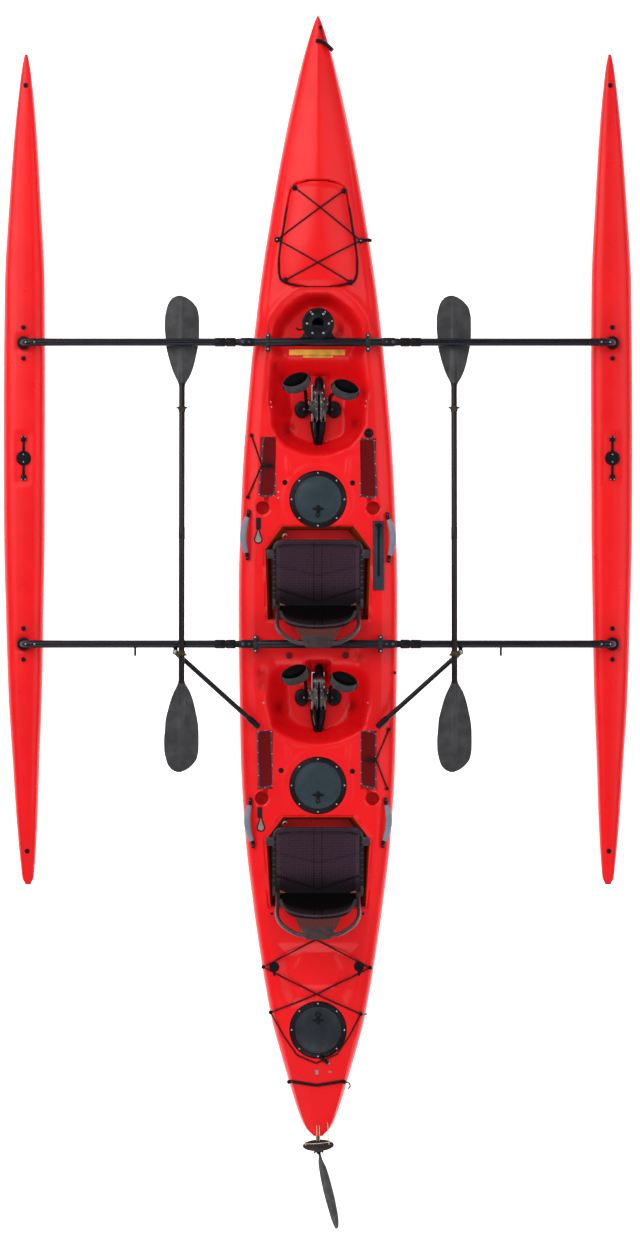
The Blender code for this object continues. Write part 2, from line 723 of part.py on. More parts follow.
def make_arm(name, side, bar_y, extras=()):
    """A folding arm: a tongue in the knuckle, a sleeve, and a tube with an elbow into the outrigger."""
    black = black_tube()
    pivot_x = side * KNUCKLE_X
    tip = arc((pivot_x, bar_y), 0.020, 90 if side > 0 else -90, 270 if side > 0 else 90, 6)
    root = side * (KNUCKLE_X + 0.050)
    outline = [(root, bar_y + side * 0.016)] + tip + [(root, bar_y - side * 0.016)]
    tongue = prism("tongue", outline, BAR_HEIGHT - TONGUE_HALF, BAR_HEIGHT + TONGUE_HALF, black)
    sleeve_ends = [(side * x, bar_y, BAR_HEIGHT) for x in (0.414, 0.525)]
    sleeve = rod("sleeve", *sleeve_ends, SLEEVE_RADIUS, black, 12)
    bend = [(side * (AMA_X - ELBOW_RADIUS + ELBOW_RADIUS * math.sin(a)), bar_y,
             BAR_HEIGHT - ELBOW_RADIUS + ELBOW_RADIUS * math.cos(a))
            for a in (math.radians(15 * i) for i in range(7))]
    points = [(side * 0.480, bar_y, BAR_HEIGHT)] + bend + [(side * AMA_X, bar_y, AMA_SEAT + 0.0008)]
    run = tube("run", points, ARM_RADIUS, black, 3)
    arm = fuse(name, [tongue, sleeve, run, *extras], black)
    return pivot_at(arm, (pivot_x, bar_y, BAR_HEIGHT))


def rear_arm_extras(side):
    """What the rear arm carries: the brace's lug, the paddle's rest and a short peg."""
    black = black_tube()
    lug_x = side * (KNUCKLE_X + BRACE_ON_ARM[0])
    lug_y = REAR_BAR_Y + BRACE_ON_ARM[1]
    low = BAR_HEIGHT - LUG_DROP
    high = (lug_x + 0.011, REAR_BAR_Y - 0.005, low + LUG_THICK)
    lug = box("lug", (lug_x - 0.011, lug_y - 0.006, low), high, black)
    rest_x = side * (KNUCKLE_X + PADDLE_ALONG_ARM)
    rest_top = BAR_HEIGHT + ARM_RADIUS + PADDLE_LIFT - RUNNING
    rest_ends = (rest_x, REAR_BAR_Y, BAR_HEIGHT), (rest_x, REAR_BAR_Y, rest_top)
    rest = rod("paddle_rest", *rest_ends, 0.008, black, 10)
    peg_x = side * 0.920
    peg_z = BAR_HEIGHT + 0.012
    peg = rod("peg", (peg_x, REAR_BAR_Y, peg_z), (peg_x, REAR_BAR_Y - 0.060, peg_z), 0.006, black, 8)
    return [lug, rest, peg]


def make_ama(side):
    """One outrigger hull, its deck cut flat under the collars and the port."""
    half_width = curve_through(AMA_HALF_BEAM)
    bottom = curve_through(AMA_KEEL)
    deck = curve_through(AMA_DECK)
    toe_in = curve_through(AMA_TOE_IN)
    rings = []
    stations = [y for y, _ in AMA_HALF_BEAM] + [0.55, 1.17, 1.67, 2.08, -0.36, -0.77]
    for y in sorted(stations):
        wide = half_width(y)
        top = deck(y)
        low = bottom(y)
        depth = top - low
        half = [(0, top), (0.5 * wide, top - 0.003), (0.84 * wide, top - 0.014)]
        shares = ((1.0, 0.20), (0.93, 0.50), (0.62, 0.82), (0.0, 1.0))
        half += [(share * wide, top - drop * depth) for share, drop in shares]
        rings.append(ring_from_half(half, y, side * (AMA_X - toe_in(y))))
    name = f"ama_{side_name(side)}"
    ama = loft(name, rings, hull_red())
    x = side * AMA_X
    cutters = [rod("collar_seat", (x, y, AMA_SEAT), (x, y, 0.4), COLLAR_RADIUS + 0.002, hull_red(), 20)
               for y in (FRONT_BAR_Y, REAR_BAR_Y)]
    low = (x - 0.042, PORT_Y - 0.130, AMA_SEAT)
    cutters.append(box("port_seat", low, (x + 0.042, PORT_Y + 0.130, 0.4), hull_red()))
    ama = fuse(name, [combine(ama, cutters, "DIFFERENCE")], hull_red())
    return pivot_at(ama, (x, FRONT_BAR_Y, AMA_TOP))


def make_collar(side, end, y):
    """The socket ring on the outrigger that takes the arm's elbow."""
    inner = ARM_RADIUS + 2 * RUNNING
    seat = AMA_SEAT + TOUCH
    profile = [
        (COLLAR_RADIUS, seat), (COLLAR_RADIUS, COLLAR_TOP - 0.008), (COLLAR_RADIUS - 0.004, COLLAR_TOP),
        (inner, COLLAR_TOP), (inner, seat),
    ]
    collar = turned(f"{end}_socket_{side_name(side)}", profile, black_plastic(), 16)
    return place(collar, Matrix.Translation((side * AMA_X, y, 0)))


def make_ama_port(side):
    """The round port amidships on the outrigger, held down by a strap between two square studs."""
    x = side * AMA_X
    seat = AMA_SEAT + TOUCH
    black = black_plastic()
    parts = [rod("port", (x, PORT_Y, seat), (x, PORT_Y, seat + 0.018), PORT_RADIUS, black, 16)]
    strap_low = (x - 0.008, PORT_Y - 0.100, seat)
    parts.append(box("strap", strap_low, (x + 0.008, PORT_Y + 0.100, seat + 0.008), black))
    for step in (-1, 1):
        y = PORT_Y + step * 0.098
        parts.append(box("stud", (x - 0.014, y - 0.014, seat), (x + 0.014, y + 0.014, seat + 0.014), black))
    return fuse(f"ama_port_{side_name(side)}", parts, black)


def make_brace(side):
    """The diagonal strut from the rear arm's lug down to the stud on the side deck."""
    black = black_tube()
    lug = Vector((side * (KNUCKLE_X + BRACE_ON_ARM[0]), REAR_BAR_Y + BRACE_ON_ARM[1], BAR_HEIGHT))
    ball = Vector((side * BRACE_BALL[0], BRACE_BALL[1], BRACE_BALL_TOP + RUNNING + 0.019))
    along = (ball - lug).normalized()
    eye_low = BAR_HEIGHT - LUG_DROP + LUG_THICK + RUNNING
    parts = [rod("brace_tube", lug, ball - along * 0.02, BRACE_RADIUS, black, 12)]
    eye_ends = (lug.x, lug.y, eye_low), (lug.x, lug.y, BAR_HEIGHT + 0.014)
    parts.append(rod("brace_eye", *eye_ends, 0.0145, black, 12))
    parts.append(rod("brace_boot", ball - along * 0.055, ball + along * 0.012, 0.0165, black, 12))
    foot = BRACE_BALL_TOP + RUNNING
    cup_ends = (ball.x, ball.y, foot), (ball.x, ball.y, foot + 0.022)
    parts.append(rod("brace_cup", *cup_ends, 0.0145, black, 12))
    return pivot_at(fuse(f"brace_{side_name(side)}", parts, black), lug)


def paddle_height(y):
    """The paddle slopes up from under the front arm to the top of the rear arm."""
    return PADDLE_FRONT_Z + (FRONT_BAR_Y - y) * (PADDLE_REAR_Z - PADDLE_FRONT_Z) / BAR_SPACING


def make_paddle(side):
    x = side * (KNUCKLE_X + PADDLE_ALONG_ARM)
    blade_half = curve_through([
        (0.0, 0.012), (0.02, 0.045), (0.07, 0.075), (0.16, BLADE_WIDTH / 2), (0.27, 0.079), (0.36, 0.050),
        (0.43, 0.022), (BLADE_LENGTH, PADDLE_SHAFT),
    ])
    blade_thick = curve_through([
        (0.0, 0.003), (0.1, 0.005), (0.3, 0.008), (0.43, 0.012), (BLADE_LENGTH, PADDLE_SHAFT),
    ])
    distances = [0.0, 0.02, 0.06, 0.11, 0.17, 0.25, 0.32, 0.38, 0.43, BLADE_LENGTH]
    stations = [(PADDLE_BOW - d, d) for d in distances]
    stations += [(PADDLE_STERN + d, d) for d in reversed(distances)]
    rings = []
    for y, distance in stations:
        wide = blade_half(distance)
        thick = blade_thick(distance)
        centre = Vector((x, y, paddle_height(y)))
        rings.append([centre + Vector((wide * math.cos(a), 0, thick * math.sin(a)))
                      for a in (2 * math.pi * k / 10 for k in range(10))])
    paddle = loft(f"paddle_{side_name(side)}", rings, blade_grey())
    return pivot_at(paddle, (x, REAR_BAR_Y, PADDLE_REAR_Z))


# Pedal drives

def make_drive_frame(end, y):
    """The spine that drops into the hull's slot, with its side bosses and the fins' shaft."""
    metal = drive_metal()
    rings = []
    for offset, half, low, high in SPINE_SECTIONS:
        outline = ((half, low), (half, low + 0.6 * (high - low)), (0.55 * half, high), (-0.55 * half, high),
                   (-half, low + 0.6 * (high - low)), (-half, low))
        rings.append([Vector((x, y + offset, z)) for x, z in outline])
    parts = [loft("spine", rings, metal)]
    parts.append(box("stem", (-0.030, y - 0.125, -0.152), (0.030, y + 0.125, 0.070), metal))
    for side in (-1, 1):
        x = side * 0.085
        parts.append(rod("boss", (x, y, FOOT_FLOOR + TOUCH), (x, y, 0.066), 0.036, metal, 14))
        low = (min(side * 0.02, x), y - 0.018, 0.052)
        parts.append(box("boss_arm", low, (max(side * 0.02, x), y + 0.018, 0.064), metal))
    shaft_ends = (0, y - 0.118, FIN_AXIS_Z), (0, y + 0.118, FIN_AXIS_Z)
    parts.append(rod("fin_shaft", *shaft_ends, SHAFT_RADIUS, metal, 8))
    for offset in (-0.112, 0.006, 0.112):
        low = (-0.009, y + offset - 0.005, FIN_AXIS_Z - 0.009)
        parts.append(box("shaft_lug", low, (0.009, y + offset + 0.005, -0.140), metal))
    pin_ends = (-0.070, y, CRANK_AXIS_Z), (0.070, y, CRANK_AXIS_Z)
    parts.append(rod("crank_pin", *pin_ends, SHAFT_RADIUS, metal, 8))
    return fuse(f"drive_{end}_frame", parts, metal)


def make_pedal(end, y, side):
    """A crank arm on the drive's cross pin, with a foot plate and the strap over it."""
    grey = pedal_grey()
    lean = math.radians(CRANK_LEAN[side])
    axis_point = Vector((side * 0.060, y, CRANK_AXIS_Z))
    along = Vector((0, math.sin(lean), math.cos(lean)))
    plate_x = side * PEDAL_X + PEDAL_SHIFT[end]
    plate_centre = Vector((plate_x, y, CRANK_AXIS_Z)) + along * CRANK_LENGTH
    bore = SHAFT_RADIUS + HUB_GAP
    hub_profile = [(0.018, -0.0085), (0.018, 0.0085), (bore, 0.0085), (bore, -0.0085)]
    hub = turned("crank_hub", hub_profile, grey, 10)
    place(hub, Matrix.Translation(axis_point) @ Matrix.Rotation(math.radians(90), 4, "Y"))
    start = axis_point + along * 0.013
    knee = axis_point + along * (CRANK_LENGTH * 0.72) + Vector((side * 0.006, 0, 0))
    end_point = plate_centre - Vector((side * 0.012, 0, 0.006))
    crank = tube("crank", [start, knee, end_point], 0.0085, grey, 2)
    tilt = Matrix.Rotation(math.radians(PEDAL_TILT), 4, "X")
    splay = Matrix.Rotation(math.radians(-side * PEDAL_SPLAY), 4, "Z")
    pose = Matrix.Translation(plate_centre) @ splay @ tilt
    outline = [(PEDAL_HALF[0] * math.cos(a), PEDAL_HALF[1] * math.sin(a))
               for a in (2 * math.pi * k / 16 for k in range(16))]
    plate = place(prism("foot_plate", outline, -0.010, 0.0, grey), pose)
    rings = []
    strap_steps = 8
    for i in range(strap_steps + 1):
        angle = math.pi * i / strap_steps
        u = -0.060 * math.cos(angle)
        rise = STRAP_RISE * math.sin(angle) - 0.005
        out = Vector((-math.cos(angle) * 0.004, 0, math.sin(angle) * 0.004))
        middle = Vector((u, 0, rise))
        rings.append([middle + Vector((0, -0.040, 0)), middle + Vector((0, 0.004, 0)),
                      middle + Vector((0, 0.004, 0)) + out, middle + Vector((0, -0.040, 0)) + out])
    strap = place(loft("strap", rings, grey), pose)
    pedal = fuse(f"pedal_{end}_{side_name(side)}", [crank, hub, plate, strap], grey)
    return pivot_at(pedal, (0, y, CRANK_AXIS_Z))


def make_fin(end, y, place_name, mast_offset, rest):
    """A flexible fin that hangs from the drive's shaft, built upright and turned to its rest angle."""
    rubber = fin_rubber()
    bore = SHAFT_RADIUS + HUB_GAP
    hub = turned("fin_hub", [(0.013, -0.014), (0.013, 0.014), (bore, 0.014), (bore, -0.014)], rubber, 10)
    along = Matrix.Rotation(math.radians(90), 4, "X")
    place(hub, Matrix.Translation((0, y + mast_offset - 0.012, FIN_AXIS_Z)) @ along)
    chord = curve_through([(0.010, 0.024), (0.06, 0.075), (0.16, 0.098), (0.27, 0.092), (0.36, 0.062),
                           (FIN_LENGTH, 0.026)])
    rings = []
    for depth in (0.010, 0.04, 0.10, 0.18, 0.27, 0.35, FIN_LENGTH):
        long = chord(depth)
        thick = 0.0055 * (1 - 0.6 * depth / FIN_LENGTH)
        z = FIN_AXIS_Z - depth
        lead = y + mast_offset
        ring = [(0, lead), (thick, lead - 0.2 * long), (0.7 * thick, lead - 0.6 * long), (0, lead - long),
                (-0.7 * thick, lead - 0.6 * long), (-thick, lead - 0.2 * long)]
        rings.append([Vector((x, station, z)) for x, station in ring])
    sail = loft("sail", rings, rubber)
    fin = fuse(f"fin_{end}_{place_name}", [hub, sail], rubber)
    place(fin, turn_about((0, y, FIN_AXIS_Z), (0, 1, 0), rest))
    return pivot_at(fin, (0, y, FIN_AXIS_Z))


def make_drive(end, y):
    make_drive_frame(end, y)
    for side in (-1, 1):
        make_pedal(end, y, side)
    make_fin(end, y, "fore", 0.100, FIN_REST)
    make_fin(end, y, "aft", -0.008, -FIN_REST)


# Seats

def make_seat(end, hinge_y):
    """A tube frame on legs with a mesh pan, and a hinged back of the same make."""
    grey = seat_tube_grey()
    mesh = seat_mesh()
    front_y = hinge_y + SEAT_DEPTH
    half = SEAT_HALF
    corner = 0.035
    frame_line = [(-half, hinge_y - 0.012, SEAT_HEIGHT)]
    for middle, start, end_angle in ((-half + corner, 180, 90), (half - corner, 90, 0)):
        bend = arc((middle, front_y - corner), corner, start, end_angle, 4)
        frame_line += [(x, y, SEAT_HEIGHT) for x, y in bend]
    frame_line += [(half, hinge_y - 0.012, SEAT_HEIGHT)]
    parts = [tube("seat_rail", frame_line, SEAT_TUBE, grey, 2)]
    cross_half = half - 0.006
    cross_ends = [(x, hinge_y + 0.03, SEAT_HEIGHT - 0.022) for x in (-cross_half, cross_half)]
    parts.append(rod("seat_cross", *cross_ends, 0.008, grey, 8))
    for side in (-1, 1):
        for leg_y in (front_y - 0.062, hinge_y + 0.03):
            x = side * (half - 0.006)
            leg_ends = (x, leg_y, SEAT_FLOOR + TOUCH), (x, leg_y, SEAT_HEIGHT - 0.8 * SEAT_TUBE)
            parts.append(rod("seat_leg", *leg_ends, 0.010, grey, 8))
        bracket_y = front_y - 0.062
        low = (min(side * half, side * 0.256), bracket_y - 0.021, SEAT_HEIGHT - 0.008)
        high = (max(side * half, side * 0.256), bracket_y + 0.021, SEAT_HEIGHT + 0.012)
        parts.append(box("seat_bracket", low, high, grey))
        low = (side * half - 0.004, hinge_y - 0.012, SEAT_HEIGHT)
        high = (side * half + 0.004, hinge_y + 0.012, SEAT_HINGE_Z + 0.008)
        parts.append(box("hinge_ear", low, high, grey))
    fuse(f"seat_{end}_frame", parts, grey)
    inner = half - SEAT_TUBE - 0.0006
    pan_y = (hinge_y + 0.004, front_y - SEAT_TUBE - 0.0006)
    pan_outline = [
        (-inner, pan_y[0]), (inner, pan_y[0]), (inner, pan_y[1] - 0.028), (inner - 0.028, pan_y[1]),
        (-inner + 0.028, pan_y[1]), (-inner, pan_y[1] - 0.028),
    ]
    prism(f"seat_{end}_pan", pan_outline, SEAT_HEIGHT - 0.008, SEAT_HEIGHT + 0.008, mesh)
    make_seat_back(end, hinge_y)


def back_pose(hinge_y):
    """Places a back drawn upright in X and Z, with its hinge at the origin, at its lean."""
    return Matrix.Translation((0, hinge_y, SEAT_HINGE_Z)) @ Matrix.Rotation(math.radians(BACK_LEAN), 4, "X")


def make_seat_back(end, hinge_y):
    grey = seat_tube_grey()
    pose = back_pose(hinge_y)
    half = SEAT_HALF - 0.020
    line = [(-half, 0.0), (-0.204, 0.12), (-0.206, 0.19), (-0.200, 0.25), (-0.182, 0.305), (-0.150, 0.355)]
    line += [(-0.105, 0.400), (-0.060, 0.412)]
    line += [(-x, z) for x, z in reversed(line)]
    frame = tube("back_rail", [(x, 0, z) for x, z in line], SEAT_TUBE, grey, 2)
    pad = box("head_pad", (-0.082, -0.014, 0.345), (0.082, 0.016, 0.443), grey)
    parts = [frame, pad]
    for side in (-1, 1):
        x = side * half
        reach = side * (SEAT_HALF - 0.004 - RUNNING)
        parts.append(rod("hinge_boss", (x, 0, 0.0), (reach, 0, 0.0), 0.009, grey, 10))
    back = fuse(f"seat_{end}_back_frame", parts, grey)
    pivot = (0, hinge_y, SEAT_HINGE_Z)
    pivot_at(place(back, pose), pivot)
    inner = half - SEAT_TUBE - 0.0001
    outline = [
        (-inner, 0.012), (inner, 0.012), (inner, 0.105), (0.176, 0.165), (0.128, 0.220), (0.064, 0.251),
        (0.0, 0.262), (-0.064, 0.251), (-0.128, 0.220), (-0.176, 0.165), (-inner, 0.105),
    ]
    rings = [[Vector((x, depth, z)) for x, z in outline] for depth in (-0.007, 0.007)]
    panel = loft(f"seat_{end}_back_mesh", rings, seat_mesh(), smooth=False)
    pivot_at(place(panel, pose), pivot)


# Rudder

def make_rudder():
    """A bracket on the stern, a head that steers on its pin, and a blade that kicks up and twists."""
    black = black_plastic()
    pin_z = (0.060, 0.205)
    rear = HULL_STERN - TOUCH
    parts = [box("plate", (-0.016, rear - 0.006, pin_z[0]), (0.016, rear, pin_z[1] - 0.010), black)]
    for z in (0.072, 0.182):
        parts.append(box("lug", (-0.0085, RUDDER_PIN_Y, z), (0.0085, rear - 0.003, z + 0.010), black))
        parts.append(rod("lug_eye", (0, RUDDER_PIN_Y, z), (0, RUDDER_PIN_Y, z + 0.010), 0.0095, black, 12))
    parts.append(rod("pin", (0, RUDDER_PIN_Y, pin_z[0]), (0, RUDDER_PIN_Y, pin_z[1]), 0.005, black, 10))
    fuse("rudder_bracket", parts, black)
    steer = turn_about((0, RUDDER_PIN_Y, 0), (0, 0, 1), RUDDER_STEER_REST)
    head = place(make_rudder_head(), steer)
    pivot_at(head, (0, RUDDER_PIN_Y, 0.13))
    blade = make_rudder_blade()
    place(blade, steer @ Matrix.Translation(KICK_PIVOT))
    pivot_at(blade, steer @ Vector(KICK_PIVOT))


def kick_axis():
    """The blade's pivot axis, leaned from square so that the blade also twists as it swings up."""
    lean = math.radians(RUDDER_AXIS_LEAN)
    return Vector((math.cos(lean), 0, -math.sin(lean)))


def make_rudder_head():
    """The sleeve on the pin, the yoke for the steering lines and the fork that holds the blade."""
    black = black_plastic()
    sleeve_profile = [(0.0125, 0.0830), (0.0125, 0.1810), (0.0058, 0.1810), (0.0058, 0.0830)]
    sleeve = turned("sleeve", sleeve_profile, black, 12)
    place(sleeve, Matrix.Translation((0, RUDDER_PIN_Y, 0)))
    half_yoke = [(0.070, -2.853), (0.079, -2.864), (0.070, -2.880), (0.022, -2.905)]
    yoke_outline = half_yoke + [(-x, y) for x, y in reversed(half_yoke)]
    yoke = prism("yoke", yoke_outline, YOKE_Z[0], YOKE_Z[1], black)
    bridge = box("bridge", (-0.008, -2.890, 0.090), (0.008, RUDDER_PIN_Y - 0.0105, 0.176), black)
    post = box("post", (-0.011, -2.890, 0.100), (0.011, -2.866, YOKE_Z[0] + 0.004), black)
    pivot = Vector(KICK_PIVOT)
    pin_reach = kick_axis() * (KICK_ARM + 0.004)
    pin = rod("kick_pin", pivot - pin_reach, pivot + pin_reach, 0.0045, black, 8)
    parts = [post, sleeve, yoke, bridge, pin]
    for side in (-1, 1):
        end = pivot + kick_axis() * side * KICK_ARM
        parts.append(rod("fork", end, (side * 0.010, -2.880, end.z + 0.004), 0.0055, black, 8))
    return fuse("rudder_head", parts, black)


def make_rudder_blade():
    """The blade, drawn hanging from its pivot at the origin and swung up to where it trails."""
    chord = curve_through([
        (0.0, 0.034), (0.05, 0.080), (0.15, 0.94 * RUDDER_CHORD), (0.22, RUDDER_CHORD), (0.31, 0.112),
        (0.37, 0.072), (RUDDER_SPAN, 0.024),
    ])
    lead_at = curve_through([(0.0, 0.010), (0.17, 0.036), (RUDDER_SPAN, 0.000)])
    rings = []
    for depth in (0.008, 0.03, 0.07, 0.12, 0.18, 0.24, 0.30, 0.34, 0.37, RUDDER_SPAN):
        long = chord(depth)
        thick = 0.0065 * (1 - 0.55 * depth / RUDDER_SPAN)
        lead = lead_at(depth)
        ring = [(0, lead), (thick, lead - 0.25 * long), (0.6 * thick, lead - 0.65 * long), (0, lead - long),
                (-0.6 * thick, lead - 0.65 * long), (-thick, lead - 0.25 * long)]
        rings.append([Vector((x, y, -depth)) for x, y in ring])
    blade = loft("blade", rings, blade_grey())
    hub_profile = [(0.013, -0.009), (0.013, 0.009), (0.0053, 0.009), (0.0053, -0.009)]
    hub = turned("kick_hub", hub_profile, blade_grey(), 12)
    kick = Matrix.Rotation(math.radians(-RUDDER_TILT), 4, kick_axis())
    place(blade, kick)
    place(hub, Vector((0, 0, 1)).rotation_difference(kick_axis()).to_matrix().to_4x4())
    return fuse("rudder_blade", [blade, hub], blade_grey())


def make_rig():
    """Crossbars, arms, outriggers, braces and paddles, both sides."""
    make_crossbar("front_crossbar", FRONT_BAR_Y)
    make_crossbar("rear_crossbar", REAR_BAR_Y)
    for side in (-1, 1):
        make_arm(f"front_arm_{side_name(side)}", side, FRONT_BAR_Y)
        make_arm(f"rear_arm_{side_name(side)}", side, REAR_BAR_Y, rear_arm_extras(side))
        make_ama(side)
        make_collar(side, "front", FRONT_BAR_Y)
        make_collar(side, "rear", REAR_BAR_Y)
        make_ama_port(side)
        make_brace(side)
        make_paddle(side)


def make_deck_fittings():
    make_bow_hatch_lid()
    make_mast_step()
    for end, y in ROUND_HATCHES.items():
        make_round_hatch(end, y)
    for name, (x, y, width) in POCKETS.items():
        make_pocket(name, x, y, width)
    for name, (side, y) in HANDLES.items():
        make_carry_handle(name, side, y)
    make_steering_plate()


def main():
    clear_scene()
    make_hull()
    make_deck_fittings()
    make_rig()
    for end, y in DRIVES.items():
        make_drive(end, y)
    for end, hinge_y in SEATS.items():
        make_seat(end, hinge_y)
    make_rudder()


main()
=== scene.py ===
import json
import math

import bmesh
import bpy
import numpy as np
from mathutils import Matrix, Vector


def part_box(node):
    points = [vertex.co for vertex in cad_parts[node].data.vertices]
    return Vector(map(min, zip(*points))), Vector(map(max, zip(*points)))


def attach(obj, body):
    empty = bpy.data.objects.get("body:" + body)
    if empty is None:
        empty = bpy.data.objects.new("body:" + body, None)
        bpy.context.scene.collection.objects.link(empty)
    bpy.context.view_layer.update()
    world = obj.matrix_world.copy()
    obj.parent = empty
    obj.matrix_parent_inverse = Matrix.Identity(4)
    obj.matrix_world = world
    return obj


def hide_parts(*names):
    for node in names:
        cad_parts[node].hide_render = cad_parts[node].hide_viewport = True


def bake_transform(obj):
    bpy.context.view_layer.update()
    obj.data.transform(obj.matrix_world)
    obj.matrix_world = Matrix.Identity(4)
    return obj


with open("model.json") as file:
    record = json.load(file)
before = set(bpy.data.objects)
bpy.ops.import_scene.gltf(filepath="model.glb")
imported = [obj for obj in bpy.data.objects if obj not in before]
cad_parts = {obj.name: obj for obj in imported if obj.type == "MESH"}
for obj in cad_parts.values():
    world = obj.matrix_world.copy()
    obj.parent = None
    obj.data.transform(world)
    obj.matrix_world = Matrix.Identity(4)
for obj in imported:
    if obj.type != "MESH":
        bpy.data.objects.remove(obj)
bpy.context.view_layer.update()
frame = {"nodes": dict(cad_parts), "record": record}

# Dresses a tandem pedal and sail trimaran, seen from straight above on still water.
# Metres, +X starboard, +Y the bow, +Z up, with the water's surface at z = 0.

bl_info = {
    "name": "Pedal Trimaran Dressing",
    "version": (1, 0, 0),
    "blender": (4, 5, 0),
    "location": "3D View > Sidebar > Trimaran",
    "description": "Adds the moulded surfaces, seats, rigging and small fittings of a tandem pedal trimaran",
    "category": "Object",
}

SIDES = {"left": -1, "right": 1}
ENDS = ("front", "rear")

# Main hull, as the solid has it: (station, value) rows
HALF_BEAM = [
    (-2.831, 0.026), (-2.79, 0.067), (-2.704, 0.104), (-2.543, 0.154), (-2.391, 0.198), (-2.24, 0.237),
    (-1.937, 0.290), (-1.635, 0.333), (-1.332, 0.368), (-0.878, 0.3935), (-0.12, 0.4035), (0.484, 0.385),
    (0.938, 0.351), (1.392, 0.303), (1.846, 0.235), (2.30, 0.150), (2.603, 0.079), (2.734, 0.040),
    (2.795, 0.018), (2.82, 0.006),
]
SHEER = [(-2.825, 0.190), (-1.6, 0.195), (0.0, 0.205), (1.4, 0.235), (2.82, 0.285)]
KEEL = [
    (-2.825, 0.03), (-2.76, -0.055), (-2.3, -0.110), (-1.0, -0.150), (0.5, -0.155), (1.8, -0.125),
    (2.5, -0.075), (2.68, -0.03), (2.77, 0.06), (2.82, 0.19),
]
DECK_CROWN = [
    (-2.825, 0.010), (-1.9, 0.018), (-1.4, 0.010), (0.9, 0.010), (1.36, 0.035), (1.7, 0.075), (2.4, 0.05), (2.82, 0.01),
]
DECK_RISE = 0.010
GUNWALE_SHARE = 0.86
STEP_FLOOR = 0.180
REAR_STEP_FLOOR = 0.198
FOOT_FLOOR = 0.045
SEAT_FLOOR = 0.105
BOW_HATCH_FLOOR = 0.262
# Outlines in plan, from bow to stern: (station, half width)
FRONT_WELL = [
    (1.430, 0.060), (1.405, 0.110), (1.36, 0.170), (1.29, 0.222), (1.20, 0.246), (1.06, 0.256), (0.94, 0.262),
    (0.76, 0.250), (0.690, 0.205), (0.650, 0.165), (0.618, 0.090), (0.606, 0.040),
]
REAR_WELL = [
    (-0.388, 0.240), (-0.410, 0.262), (-0.50, 0.280), (-0.66, 0.276), (-0.770, 0.240), (-0.806, 0.180),
    (-0.836, 0.110), (-0.850, 0.040),
]
SEAT_WELLS = {
    "front": [(0.254, 0.186), (0.140, 0.274), (-0.10, 0.266), (-0.225, 0.262)],
    "rear": [(-1.213, 0.186), (-1.326, 0.272), (-1.60, 0.256), (-1.678, 0.250)],
}
STERN_WELL = [(-1.875, 0.190), (-1.95, 0.196), (-2.10, 0.172), (-2.165, 0.140)]
STERN_PANEL = [(-1.910, 0.084), (-1.989, 0.121), (-2.078, 0.084)]
BOW_HATCH = [
    (1.985, 0.055), (1.972, 0.105), (1.945, 0.134), (1.86, 0.151), (1.77, 0.165), (1.68, 0.181), (1.60, 0.191),
    (1.53, 0.190), (1.490, 0.176), (1.468, 0.120), (1.460, 0.060),
]
COAMING_RISE = 0.014
LIP_RISE = 0.005
TRAY_DEPTH = 0.022
PANEL_RISE = 0.006
# How far the seat wells' walls lean in at their foot
WALL_LEAN = 0.034
# Dimples pressed into the footwells, their hollows darkened with painted shade: (x, y, depth)
DIMPLES = [
    (-0.217, 1.065, 0.016), (-0.182, 1.005, 0.014), (-0.228, 0.886, 0.012), (-0.154, 0.747, 0.022),
    (0.232, 0.928, 0.018), (0.186, 0.774, 0.020), (0.102, 1.244, 0.012), (-0.203, 1.237, 0.010),
    (-0.2825, -0.490, 0.014), (-0.2825, -0.545, 0.014), (-0.199, -0.665, 0.024), (0.175, -0.656, 0.022),
    (0.202, -0.404, 0.014),
]

# Outriggers
AMA_X = 1.487
AMA_HALF_BEAM = [
    (-1.559, 0.012), (-1.53, 0.028), (-1.47, 0.035), (-1.38, 0.043), (-1.18, 0.056), (-0.97, 0.066), (-0.57, 0.086),
    (-0.16, 0.096), (0.24, 0.1035), (0.87, 0.105), (1.47, 0.101), (1.87, 0.081), (2.28, 0.053), (2.48, 0.033),
    (2.58, 0.020), (2.638, 0.008),
]
AMA_KEEL = [
    (-1.559, 0.15), (-1.45, 0.08), (-1.0, 0.005), (0.4, -0.030), (1.6, -0.005), (2.4, 0.06), (2.6, 0.11), (2.638, 0.16),
]
# Half section from the middle of the deck to the keel: (step, share of the half beam, share of the depth)
AMA_SECTION = [
    (0.0, 0.0, 0.0), (0.2, 0.42, 0.008), (0.36, 0.80, 0.06), (0.5, 1.0, 0.22), (0.66, 0.95, 0.50), (0.84, 0.62, 0.84),
    (1.0, 0.0, 1.0),
]
AMA_DECK = [(-1.559, 0.205), (-1.1, 0.230), (-0.5, 0.235), (1.4, 0.235), (2.2, 0.228), (2.638, 0.205)]
AMA_TOE_IN = [(-1.559, 0.020), (-0.6, 0.005), (0.4, 0.0), (1.6, 0.003), (2.638, 0.011)]
AMA_SEAT = 0.230
PORT_Y = 0.595
BARS = {"front": 1.177, "rear": -0.343}

# Fittings
DRIVES = {"front": 0.8475, "rear": -0.6155}
ROUND_HATCHES = {"front": 0.3875, "middle": -1.058, "stern": -2.294}
CUP_HOLDERS = [(-0.280, 0.345), (0.279, 0.344), (-0.285, -1.1225), (0.276, -1.125)]
CUP_RADIUS = 0.034
CUP_DEPTH = 0.095
HINGES = {"front": -0.151, "rear": -1.604}
SEAT_HEIGHT = 0.190
SEAT_HINGE_Z = 0.220
SEAT_DEPTH = 0.325
SEAT_INNER = 0.2104
# The drive's metal stands a little to starboard of the middle, and so do both its pedals
DRIVE_SHIFT = 0.005
PEDAL_X = 0.1205
PEDAL_SHIFT = {"front": 0.0145, "rear": 0.0070}
